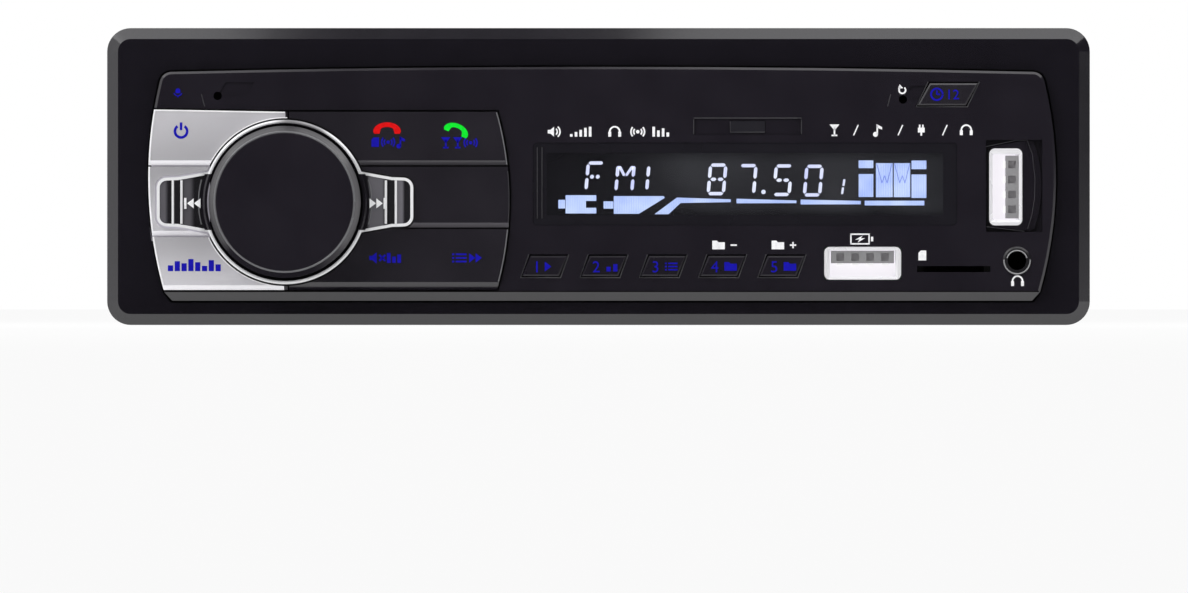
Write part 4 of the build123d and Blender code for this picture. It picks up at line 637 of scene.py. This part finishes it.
def screw_heads(mesh):
    """Middle, outward direction and radius of each loose screw's head: its widest flat round face."""
    few_corners = 10     # a face with more corners is round
    heads = []
    seen = set()
    for start in mesh.verts:
        if start in seen:
            continue
        group, queue = [], [start]
        seen.add(start)
        while queue:
            vertex = queue.pop()
            group.append(vertex)
            for edge in vertex.link_edges:
                other = edge.other_vert(vertex)
                if other not in seen:
                    seen.add(other)
                    queue.append(other)
        faces = {face for vertex in group for face in vertex.link_faces if len(face.verts) > few_corners}
        if faces:
            head = max(faces, key=lambda face: face.calc_area())
            radius = math.sqrt(head.calc_area() / math.pi)
            heads.append((head.calc_center_median(), head.normal.copy(), radius))
    return heads


def cross_cutters(mesh):
    """Two crossed bars for every screw head, turned a little so that the heads look driven in."""
    bar = (1.15, 0.24, 0.9)      # length, width and depth, in radii of the head
    cutters = bmesh.new()
    for middle, out, radius in screw_heads(mesh):
        facing = out.to_track_quat("Z", "Y").to_matrix().to_4x4()
        for degrees in (20, 110):
            turn = facing @ Matrix.Rotation(math.radians(degrees), 4, "Z")
            size = Matrix.Diagonal((*[radius * share for share in bar], 1))
            bmesh.ops.create_cube(cutters, size=1.0, matrix=Matrix.Translation(middle) @ turn @ size)
    return mesh_data("cross_tools", cutters)


def crossed_screws(node, body):
    """A node's screws with a cross recess in every head."""
    mesh = merged_copy(node)
    cutter = bpy.data.objects.new("cross_tools", cross_cutters(mesh))
    bpy.context.scene.collection.objects.link(cutter)
    screws = piece_of(f"{node}_crossed", mesh_data(f"{node}_crossed", mesh), screw_steel, body)
    cut = screws.modifiers.new("cross", "BOOLEAN")
    cut.operation = "DIFFERENCE"
    cut.solver = "EXACT"
    cut.use_self = True
    cut.object = cutter
    bpy.context.view_layer.update()
    graph = bpy.context.evaluated_depsgraph_get()
    recessed = bpy.data.meshes.new_from_object(screws.evaluated_get(graph))
    screws.modifiers.clear()
    screws.data = recessed
    bpy.data.objects.remove(cutter)
    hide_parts(node)


def stud_thread():
    """The thread of the rear stud, as a fine coil half sunk into it."""
    low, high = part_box("rear_stud")
    middle_x, middle_z = (low.x + high.x) / 2, (low.z + high.z) / 2
    corners = [nodes["rear_stud"].matrix_world @ v.co for v in nodes["rear_stud"].data.vertices]
    shaft = max(math.hypot(c.x - middle_x, c.z - middle_z) for c in corners if c.y > high.y - 2 * MM)
    start, end, pitch = high.y - 11.0 * MM, high.y - 0.7 * MM, 0.8 * MM
    sides = 20
    coil = []
    for i in range(int((end - start) / pitch * sides) + 1):
        angle = 2 * math.pi * i / sides
        coil.append((middle_x + shaft * math.cos(angle), start + pitch * i / sides,
                     middle_z + shaft * math.sin(angle)))
    piece_of("stud_thread", wires("stud_thread", [coil], 0.24, rounds=1), screw_steel, "radio")


crossed_screws("chassis_screws", "radio")
crossed_screws("cover_screws", "radio")
stud_thread()


# ---- pictograms ----
POWER = [arc_stroke((0, 0), 1.17, 125, 415, 0.5), stroke((0, 0.25), (0, 1.7), 0.48)]
HANDSET = [[(2.45, -1.2), *arc(2.65, 0, 180, 14, (0, -0.75), 1.75), (-2.45, -1.2), (-1.45, -1.2),
            *arc(1.25, 180, 0, 14, (0, -0.45), 0.55), (1.45, -1.2)]]
BATTERY = [stroke((-2.5, -1.05), (1.6, -1.05), 0.3), stroke((-2.5, 1.05), (1.6, 1.05), 0.3),
           stroke((-2.35, -1.2), (-2.35, 1.2), 0.3), stroke((1.6, -1.2), (1.6, 1.2), 0.3),
           box_shape(2.0, -0.5, 2.5, 0.5),
           [(0.25, 0.75), (-1.45, -0.15), (-0.5, -0.1), (-0.85, -0.75), (0.75, 0.2), (-0.2, 0.15)]]
NOTE = [disc((-0.45, -0.8), 0.48), stroke((-0.12, -0.8), (-0.12, 1.0), 0.3),
        [(-0.25, 1.15), (0.8, 0.6), (0.8, 0.1), (-0.25, 0.5)]]
HORN = [(-1.3, -0.35), (-0.8, -0.35), (-0.1, -0.95), (-0.1, 0.95), (-0.8, 0.35), (-1.3, 0.35)]
SPEAKER = [HORN, arc_stroke((-0.2, 0), 0.72, -50, 50, 0.28), arc_stroke((-0.2, 0), 1.25, -50, 50, 0.28)]
MUTED = [HORN, stroke((0.35, -0.5), (1.35, 0.5), 0.32), stroke((0.35, 0.5), (1.35, -0.5), 0.32)]
HEADPHONES = [arc_stroke((0, 0), 0.95, 0, 180, 0.32),
              *[box_shape(x - 0.28, -0.95, x + 0.28, 0.0) for x in (-0.95, 0.95)]]
AERIAL = [stroke((0, -1.05), (0, 0.6), 0.32), [(-0.95, 1.1), (0.95, 1.1), (0, -0.1)],
          stroke((-0.55, -1.0), (0.55, -1.0), 0.3)]
PLUG = [box_shape(-0.65, -0.45, 0.65, 0.5), box_shape(-0.45, 0.5, -0.15, 1.05),
        box_shape(0.15, 0.5, 0.45, 1.05), stroke((0, -1.05), (0, -0.45), 0.34)]
FOLDER = [[(-1.2, -0.8), (1.2, -0.8), (1.2, 0.55), (0.0, 0.55), (-0.3, 0.85), (-1.2, 0.85)]]
MINUS = [stroke((-0.6, 0), (0.6, 0), 0.3)]
PLUS = [*MINUS, stroke((0, -0.6), (0, -0.15), 0.3), stroke((0, 0.15), (0, 0.6), 0.3)]
TURN_BACK = [arc_stroke((0, 0), 0.62, 120, 410, 0.3), [(-0.85, 0.2), (0.15, 0.4), (-0.5, 1.1)]]
CARD = [[(-0.75, -0.95), (0.75, -0.95), (0.75, 0.95), (-0.3, 0.95), (-0.75, 0.5)]]
CLOCK = [arc_stroke((0, 0), 1.1, 0, 355, 0.34), stroke((0, -0.05), (0, 0.75), 0.3),
         stroke((0, 0), (0.6, 0), 0.3)]
MICROPHONE = [arc_stroke((0, 0.15), 0.2, 0, 180, 0.4), box_shape(-0.4, -0.25, 0.4, 0.15),
              arc_stroke((0, 0), 0.68, 200, 340, 0.18), stroke((0, -0.95), (0, -0.65), 0.2)]
WAVES = [disc((0, 0), 0.34),
         *[arc_stroke((0, 0), r, side - 42, side + 42, 0.3) for r in (0.78, 1.3) for side in (0, 180)]]
LIST = [shape for z in (-0.6, 0.0, 0.6)
        for shape in (box_shape(-1.2, z - 0.15, -0.85, z + 0.15), stroke((-0.6, z), (1.2, z), 0.28))]


def skip_sign(side):
    """Two triangles and a bar; side is 1 for forwards and -1 for back."""
    arrows = [[(side * (x - 0.2), z) for x, z in ((tip - 1.25, -0.95), (tip, 0), (tip - 1.25, 0.95))]
              for tip in (-0.05, 1.25)]
    return [*arrows, stroke((side * 1.4, -1.05), (side * 1.4, 1.05), 0.45)]


def levels(heights, pitch, wide):
    """Upright bars of these heights on one base line."""
    base = -0.95
    left = -pitch * (len(heights) - 1) / 2
    return [box_shape(left + i * pitch - wide / 2, base, left + i * pitch + wide / 2, base + h)
            for i, h in enumerate(heights)]


def digit(text, tall):
    """A numeral from the built-in font, as outlines in millimetres about its middle."""
    curve = bpy.data.curves.new("numeral", "FONT")
    curve.body = text
    curve.size = tall * 1.4      # the font's numerals are 1 / 1.4 of its size tall
    curve.align_x = "CENTER"
    curve.resolution_u = 3
    shape = bpy.data.objects.new("numeral", curve)
    data = bpy.data.meshes.new_from_object(shape)
    bpy.data.objects.remove(shape)
    middle = Vector((0, tall / 2))
    polygons = [[tuple(data.vertices[i].co.xy - middle) for i in face.vertices] for face in data.polygons]
    bpy.data.meshes.remove(data)
    return polygons


def key_signs():
    """Signs printed on the keys; each rides on its own key."""
    forwards = skip_sign(1)
    source_signs = moved(WAVES + moved(NOTE, 2.6) + moved(CARD, -2.6), scale=0.95)
    band_signs = moved(AERIAL + moved(WAVES, 2.6) + moved(AERIAL, -2.4), scale=0.95)
    mute = moved(MUTED, -1.2, scale=1.15) + moved(levels((1.9, 1.2, 1.6), 1.0, 0.7), 2.0)
    scan = moved(LIST, -1.4, scale=1.15) + moved(forwards[:2], 1.9, scale=0.95)
    bars = levels((1.1, 1.9, 1.5, 2.3, 1.7, 1.0, 2.1, 1.3), 1.3, 1.0)
    for name, shapes, key, dx, dz, paint in (
            ("power_sign", POWER, "power_key", -7.05, 1.15, blue_ink),
            ("sound_sign", bars, "sound_key", -4.9, -0.5, blue_ink),
            ("hang_up_sign", HANDSET, "call_key", -2.15, 2.1, red_ink),
            ("answer_sign", moved(HANDSET, turn=-22, scale=0.92), "call_key", 11.25, 1.9, green_ink),
            ("source_sign", source_signs, "call_key", -1.95, -0.7, blue_ink),
            ("band_sign", band_signs, "call_key", 11.35, -0.8, blue_ink),
            ("mute_sign", mute, "function_key", -2.9, 0.3, blue_ink),
            ("scan_sign", scan, "function_key", 13.0, 0.3, blue_ink)):
        raised(name, shapes, spot(key, dx, dz), paint, f"{key}_body")
    for side, name in ((-1, "back_sign"), (1, "forward_sign")):
        raised(name, skip_sign(side), spot("seek_inlays", side * 17.65, -0.25), white_ink, "seek_body")
    extras = (forwards[:1], levels((0.9, 1.4), 1.3, 0.8), LIST, FOLDER, FOLDER)
    for number, extra in enumerate(extras, start=1):
        shapes = moved(digit(str(number), 2.2), -1.5, -0.1) + moved(extra, 1.5, -0.1)
        at = spot(f"preset_key_{number}")
        raised(f"preset_sign_{number}", shapes, at, blue_ink, f"preset_{number}_body")
    hours = moved(CLOCK, -1.6) + moved(digit("12", 1.9), 1.4)
    raised("clock_sign", hours, spot("clock_key", -0.5), blue_ink, "clock_key_body")


def bezel_signs():
    """Signs printed on the nose."""
    sources = moved(AERIAL, -12.6) + moved(NOTE, -4.3) + moved(PLUG, 4.0) + moved(HEADPHONES, 12.6)
    sources += [stroke((x - 0.45, -1.0), (x + 0.45, 1.0), 0.24) for x in (-8.5, 0.0, 8.5)]
    output = moved(SPEAKER, -2.8) + moved(levels((0.5, 0.9, 1.3, 1.7, 1.9), 0.9, 0.5), 2.2)
    sound = moved(HEADPHONES, -4.4) + WAVES + moved(levels((1.9, 1.2, 1.6, 0.8), 0.9, 0.5), 4.4)
    for name, shapes, node, dx, dz, paint in (
            ("source_line", sources, "display_lens", 29.7, 10.3, white_ink),
            ("output_line", output, "display_lens", -33.6, 10.0, white_ink),
            ("sound_line", sound, "display_lens", -20.5, 10.0, white_ink),
            ("folder_sign_4", moved(FOLDER, -1.4) + moved(MINUS, 1.5), "preset_key_4", 0.6, 4.0, white_ink),
            ("folder_sign_5", moved(FOLDER, -1.4) + moved(PLUS, 1.5), "preset_key_5", 0.6, 4.0, white_ink),
            ("charge_sign", moved(BATTERY, scale=0.88), "usb_contacts", -11.4, -5.0, white_ink),
            ("card_sign", CARD, "card_reader", -6.0, 2.6, white_ink),
            ("audio_sign", HEADPHONES, "jack_bush", 0.1, -3.9, white_ink),
            ("reset_sign", TURN_BACK, "clock_key", -8.7, 0.8, white_ink),
            ("microphone_sign", moved(MICROPHONE, scale=1.15), "microphone", -7.6, 0.8, blue_ink)):
        raised(name, shapes, on_nose(node, dx, dz), paint)


key_signs()
bezel_signs()


# ---- display contents, about the lens's middle ----
LEAN = math.tan(math.radians(5))
SEGMENT = 0.64           # width of the figures' segments


def leaning(shapes, x, z):
    """Outlines moved to (x, z) and leant over as display figures are."""
    return [[(x + px + pz * LEAN, z + pz) for px, pz in shape] for shape in shapes]


def segment(start, end, wide=SEGMENT, gap=0.2):
    """A segment with pointed ends that stops short of its neighbours."""
    start, end = Vector(start), Vector(end)
    along = (end - start).normalized()
    across = Vector((-along.y, along.x)) * wide / 2
    start, end = start + along * gap, end - along * gap
    near, far = start + along * wide / 2, end - along * wide / 2
    return [tuple(p) for p in (start, near - across, far - across, end, far + across, near + across)]


def figure(wide, tall, lit):
    """A segmented figure: the lit ones of abcdef, and g and k for the halves of its bar, about its middle."""
    w, h = (wide - SEGMENT) / 2, (tall - SEGMENT) / 2
    ends = {
        "a": ((-w, h), (w, h)), "b": ((w, h), (w, 0)), "c": ((w, 0), (w, -h)), "d": ((w, -h), (-w, -h)),
        "e": ((-w, -h), (-w, 0)), "f": ((-w, 0), (-w, h)), "g": ((-w, 0), (0.1, 0)), "k": ((-0.1, 0), (w, 0)),
    }
    return [segment(*ends[name], gap=0.02 if name in "ad" else 0.2) for name in lit]


def display_figures():
    """Band name, frequency and the small figure after it."""
    letter_f = figure(3.5, 5.9, "afe") + [disc((-0.5, 0), 0.38), disc((0.6, 0), 0.38)]
    letter_m = figure(3.7, 5.75, "efbc") + [segment((x, 2.5), (0, 0.2), 0.52) for x in (-1.4, 1.4)]
    halves = [stroke((0.1, 1.4), (0.02, 0.15), 0.42), stroke((-0.02, -0.15), (-0.1, -1.4), 0.42)]
    shapes = [disc((3.55, -1.5), 0.42)]
    for lit, x, z in (("abcdefgk", -5.34, 0.91), ("abc", 0.43, 0.8), ("afgkcd", 7.22, 0.74),
                      ("abcdef", 13.07, 0.66)):
        shapes += leaning(figure(3.55, 6.1, lit), x, z)
    shapes += leaning(letter_f, -28.74, 1.4) + leaning(letter_m, -22.93, 1.15)
    shapes += leaning(figure(0.9, 5.55, "bc"), -18.7, 1.18) + leaning(halves, 18.8, -0.5)
    return shapes


def display_pictures():
    """Level block at the right, and the plug-shaped bar along the foot."""
    return [
        box_shape(21.75, 3.05, 24.55, 4.52), box_shape(21.75, -2.47, 24.55, 1.92),
        box_shape(31.85, 2.85, 34.7, 4.5), box_shape(31.85, -2.65, 34.7, 1.84),
        box_shape(25.05, -2.5, 28.25, 4.0), box_shape(28.47, -2.5, 31.6, 4.0),
        [(-1.6, -3.68), (9.85, -3.64), (9.85, -3.14), (-1.6, -2.8)],
        [(10.65, -3.89), (22.15, -3.87), (22.15, -3.22), (10.65, -2.96)],
        box_shape(22.9, -4.08, 34.3, -3.18),
        [(-17.3, -5.76), (-14.6, -5.76), (-12.3, -3.62), (-2.7, -3.45), (-2.7, -2.92), (-13.0, -2.58)],
        box_shape(-35.68, -4.67, -34.4, -3.0),
        [(-34.3, -5.62), (-28.42, -5.62), (-28.42, -4.54), (-30.4, -4.54), (-30.4, -3.22), (-28.42, -3.22),
         (-28.42, -2.13), (-34.3, -2.13)],
        box_shape(-27.03, -4.7, -25.15, -3.3),
        [(-25.07, -5.69), (-20.3, -5.69), (-15.3, -2.62), (-15.6, -2.3), (-25.07, -2.3)],
    ]


def display_waves():
    """Faint peaks drawn over the two middle columns of the level block."""
    peaks = ((0, 3.9), (1.0, 0.2), (1.5, 1.6), (2.0, 0.2), (2.9, 3.9))
    return [stroke((left + x, z), (left + next_x, next_z), 0.16)
            for left in (25.2, 28.6) for (x, z), (next_x, next_z) in zip(peaks, peaks[1:])]


def display_art():
    low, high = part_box("display_lens")
    at = (low + high) / 2
    at.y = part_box("lcd_panel")[0].y
    raised("display_figures", display_figures(), at, segment_light)
    raised("display_pictures", display_pictures(), at, picture_light)
    raised("display_waves", display_waves(), at, wave_light, thick=1.5 * PRINT)


display_art()


# ---- fine edges on the nose ----
def slanted_rim(node, slant):
    """The sides and foot of a slanted key's hole, from the key's box without the flange behind its face."""
    size = size_of(node)
    flange_z, gap = 0.7, 0.3
    lean = slant / (size.z - 2 * flange_z)
    flange_x = flange_z * (math.hypot(1, lean) + lean)
    w, h = size.x / 2 - flange_x + gap, size.z / 2 - flange_z + gap
    return [(-w + slant, h), (-w, -h), (w - slant, -h), (w, h)]


def nose_edges():
    """Rims of the slanted keys' holes, of the slot above the display and of the window left of it."""
    for name, slant in [(f"preset_key_{number}", 1.6) for number in range(1, 6)] + [("clock_key", 2.35)]:
        bead(f"{name}_rim", [slanted_rim(name, slant)], on_nose(name), 0.11, edge_plastic)
    slot = [[(side * 10.3, -1.4), (side * 10.3, 1.4)] for side in (-1, 1)] + [[(-10.3, 1.65), (10.3, 1.65)]]
    bead("slot_ticks", slot, on_nose("remote_window"), 0.1, edge_plastic)
    grooves = [[(x, 7.0), (x, -6.6)] for x in (-39.7, -38.8)]
    bead("window_edge", grooves, on_nose("display_lens"), 0.09, edge_plastic)
    rim = [(-3.3, 1.05), (-3.3, -1.05), (3.3, -1.05)]
    bead("remote_window_rim", [rim], spot("remote_window"), 0.09, edge_plastic)


def bow(height):
    """How far the key field's right end reaches at a height in millimetres from the right plate's middle."""
    middle = -0.65
    radius = 62.0
    return math.sqrt(radius ** 2 - (height - middle) ** 2) - radius


def field_edges():
    """Painted highlights on the edges of the keys and plates round the knob."""
    plate = spot("right_plate")
    right = size_of("right_plate").x / 2
    steps, top_margin, inset = 10, 0.1, 0.15
    for name, margin in (("call_key", 0.1), ("function_key", 1.6)):
        at = spot(name)
        plate_up = (at.z - plate.z) / MM
        half = size_of(name).z / 2
        span = 2 * half - margin - top_margin
        heights = [plate_up - half + margin + span * i / steps for i in range(steps + 1)]
        path = [((plate.x - at.x) / MM + right + bow(z) - inset, z - plate_up) for z in heights]
        bead(f"{name}_edge", [path], at, 0.12, pale_edge_highlight, f"{name}_body")
    path = [(right + bow(z) - 0.1, z) for z in range(-5, 6)]
    bead("right_plate_edge", [path], plate, 0.08, edge_plastic)


def front_outline(node):
    """Corners of a node's front face, in millimetres (x, z), and the plane they lie in."""
    piece = nodes[node]
    corners = [piece.matrix_world @ vertex.co for vertex in piece.data.vertices]
    front = min(corner.y for corner in corners)
    return front, {(round(c.x / MM, 3), round(c.z / MM, 3)) for c in corners if c.y < front + 0.02 * MM}


def silver_edges():
    """Painted highlights: glowing beads on the silver parts' outer side, top and arc round the knob."""
    knob = spot("seek_ring") / MM
    for node, body, bow_in in (("power_key", "power_key_body", 2.5), ("sound_key", "sound_key_body", 2.5),
                               ("left_plate", "radio", 0.9)):
        front, corners = front_outline(node)
        left, top = min(x for x, z in corners), max(z for x, z in corners)
        side = sorted((point for point in corners if point[0] < left + bow_in), key=lambda point: point[1])
        paths = [([(x + 0.18, z) for x, z in side], 0.17)]
        if node == "power_key":
            start, *_, end = sorted(point for point in corners if point[1] > top - 0.6)
            paths.append(([(start[0] + 0.2, start[1] - 0.14), (end[0] - 0.5, end[1] - 0.14)], 0.14))
        if node != "left_plate":
            reach = {point: math.hypot(point[0] - knob.x, point[1] - knob.z) for point in corners}
            rim = sorted(point for point in corners if reach[point] < min(reach.values()) + 0.1)
            paths.append(([(x - 0.06, z + math.copysign(0.06, z - knob.z)) for x, z in rim], 0.1))
        for number, (path, radius) in enumerate(paths):
            bead(f"{node}_outline_{number}", [path], Vector((0, front, 0)), radius, glowing_edge_highlight, body)


def seek_trim():
    """Painted highlights on the rocker ring: lines by each arm's ridge and an arc where the arm leaves it."""
    at = spot("seek_inlays")
    lines = [[(x, -4.15), (x, 4.15)] for x in (-21.43, -19.77, 19.27, 21.18)]
    bead("seek_lines", lines, at, 0.23, ring_plated, "seek_body")
    at.y += 0.35 * MM
    arcs = [arc(16.5, middle - 15, middle + 15, 8) for middle in (0, 180)]
    bead("seek_arcs", arcs, at, 0.14, pale_edge_highlight, "seek_body")


def knob_trim():
    """A pale line round the knob's face: a painted highlight."""
    at = spot("knob_cap")
    at.y += 0.2 * MM
    circle = arc(size_of("knob_cap").x / 2 + 0.05, 0, 354, 59)
    bead("knob_line", [circle], at, 0.2, pale_edge_highlight, "knob", closed=True)


def pinhole_edges():
    """Slanted edges of the shallow pockets beside the pinholes."""
    for name, node, dx, dz, lean in (("microphone_pocket", "microphone", -2.8, -0.9, -0.3),
                                     ("reset_pocket", "clock_key", -11.2, -1.2, 0.3)):
        bead(name, [[(-lean, -1.1), (lean, 1.2)]], on_nose(node, dx, dz), 0.1, edge_plastic)


def port_edges():
    """Rims of the bay beside the display and of the audio socket, as lighter beads: painted highlights."""
    bay = [[(-5.0, 7.5), (0.9, 8.7), (3.0, 8.7), (4.0, 6.0), (4.5, 1.5), (4.4, -2.5), (3.9, -5.5),
            (3.1, -8.2)], [(-4.8, -7.8), (2.5, -8.7)]]
    bead("insert_edge", bay, spot("usb_insert"), 0.07, edge_plastic)
    bead("jack_rim", [arc(1.95, 15, 165, 25), arc(2.5, 175, 365, 31)], spot("jack_bush"), 0.12, white_edge_highlight)


nose_edges()
field_edges()
silver_edges()
seek_trim()
knob_trim()
pinhole_edges()
port_edges()


# ---- surroundings, light and camera ----
def studio_floor():
    """A plain white floor, which keeps the radio's shadow; gloss sees it bright only close to the radio."""
    mesh = bmesh.new()
    bmesh.ops.create_grid(mesh, x_segments=2, y_segments=2, size=6.0)
    data = mesh_data("floor", mesh)
    floor = bpy.data.objects.new("floor", data)
    bpy.context.scene.collection.objects.link(floor)
    material, tree, place = new_material("floor_white")
    white_share = 0.9
    dim, bright = -46 * MM, -41 * MM
    close = ramp(tree, axes_of(tree, place)["Y"], dim, bright, 0.03, 1.0)
    shade(tree, {
        "Base Color": tint(tree, noise(tree, place, 120.0), (0.88, 0.88, 0.88), 0.01),
        "Roughness": 0.7,
        "Specular IOR Level": 0.1,
    })
    plain = tree.nodes["Principled BSDF"].outputs["BSDF"]
    backlit = add_node(tree, "Emission", {"Strength": 1.0})["Emission"]
    mirrored = add_node(tree, "Emission", {"Strength": close})["Emission"]
    seen = add_node(tree, "LightPath")
    share = product(tree, seen["Is Camera Ray"], white_share)
    to_camera = add_node(tree, "MixShader", {0: share, 1: plain, 2: backlit})["Shader"]
    to_gloss = add_node(tree, "MixShader", {0: seen["Is Glossy Ray"], 1: to_camera, 2: mirrored})["Shader"]
    feed(tree, tree.nodes["Material Output"].inputs["Surface"], to_gloss)
    data.materials.append(material)


def surroundings():
    """White behind the radio and in its reflections, dim towards the photographer and to the right."""
    world = bpy.data.worlds.new("studio")
    world.use_nodes = True
    bpy.context.scene.world = world
    tree = world.node_tree
    tree.nodes.clear()
    on_object = 0.55
    seen = add_node(tree, "LightPath")
    axes = axes_of(tree, add_node(tree, "TexCoord")["Generated"])
    depth = ramp(tree, axes["Y"], -0.75, 0.15, 0.03, 1.0)
    right = ramp(tree, axes["X"], 0.35, 0.9, 1.0, 0.05)
    above = ramp(tree, axes["Z"], 0.5, 0.95, 1.0, 0.15)
    mirrored = product(tree, depth, right, above)
    reflecting = combine(tree, "MAXIMUM", seen["Is Glossy Ray"], seen["Is Transmission Ray"])
    unseen = add_node(tree, "Mix", {"A": on_object, "B": mirrored, "Factor": reflecting})["Result"]
    strength = add_node(tree, "Mix", {"A": unseen, "B": 1.0, "Factor": seen["Is Camera Ray"]})["Result"]
    background = add_node(tree, "Background", {"Color": WHITE, "Strength": strength})["Background"]
    add_node(tree, "OutputWorld", {"Surface": background})


def panel_light(name, place, towards, wide, deep, brightness):
    """A soft rectangular lamp; brightness is what a mirror would show of it."""
    light = bpy.data.lights.new(name, "AREA")
    light.shape = "RECTANGLE"
    light.size = wide
    light.size_y = deep
    light.energy = brightness * math.pi * wide * deep
    lamp = bpy.data.objects.new(name, light)
    lamp.location = place
    lamp.rotation_euler = (Vector(towards) - Vector(place)).to_track_quat("-Z", "Y").to_euler()
    bpy.context.scene.collection.objects.link(lamp)


def studio_lights():
    """A key light from the upper left, and overhead lamps with a gap over the radio's left half."""
    panel_light("key_light", (-1.0, -1.3, 1.2), MIDDLE, 0.9, 0.9, 4.0)
    height = 0.45
    for name, left, right in (("top_left", -0.60, -0.070), ("top_right", 0.011, 0.60)):
        middle = (left + right) / 2
        place = (middle, ring_low.y, height)
        panel_light(name, place, (middle, ring_low.y, 0), right - left, 0.5, 1.4)


def camera():
    """Level with the foot of the radio and straight in front of it, through a long lens."""
    distance = 5.0
    view_wide = 0.2272
    aside, height = -0.86 * MM, 5.45 * MM
    data = bpy.data.cameras.new("camera")
    data.sensor_width = 36.0
    data.lens = data.sensor_width * distance / view_wide
    data.clip_start = 0.05
    data.clip_end = 30.0
    viewer = bpy.data.objects.new("camera", data)
    viewer.location = (aside, ring_low.y - distance, height)
    viewer.rotation_euler = (math.radians(90), 0, 0)
    bpy.context.scene.collection.objects.link(viewer)
    bpy.context.scene.camera = viewer


studio_floor()
surroundings()
studio_lights()
camera()
bpy.context.scene.view_settings.view_transform = "Standard"
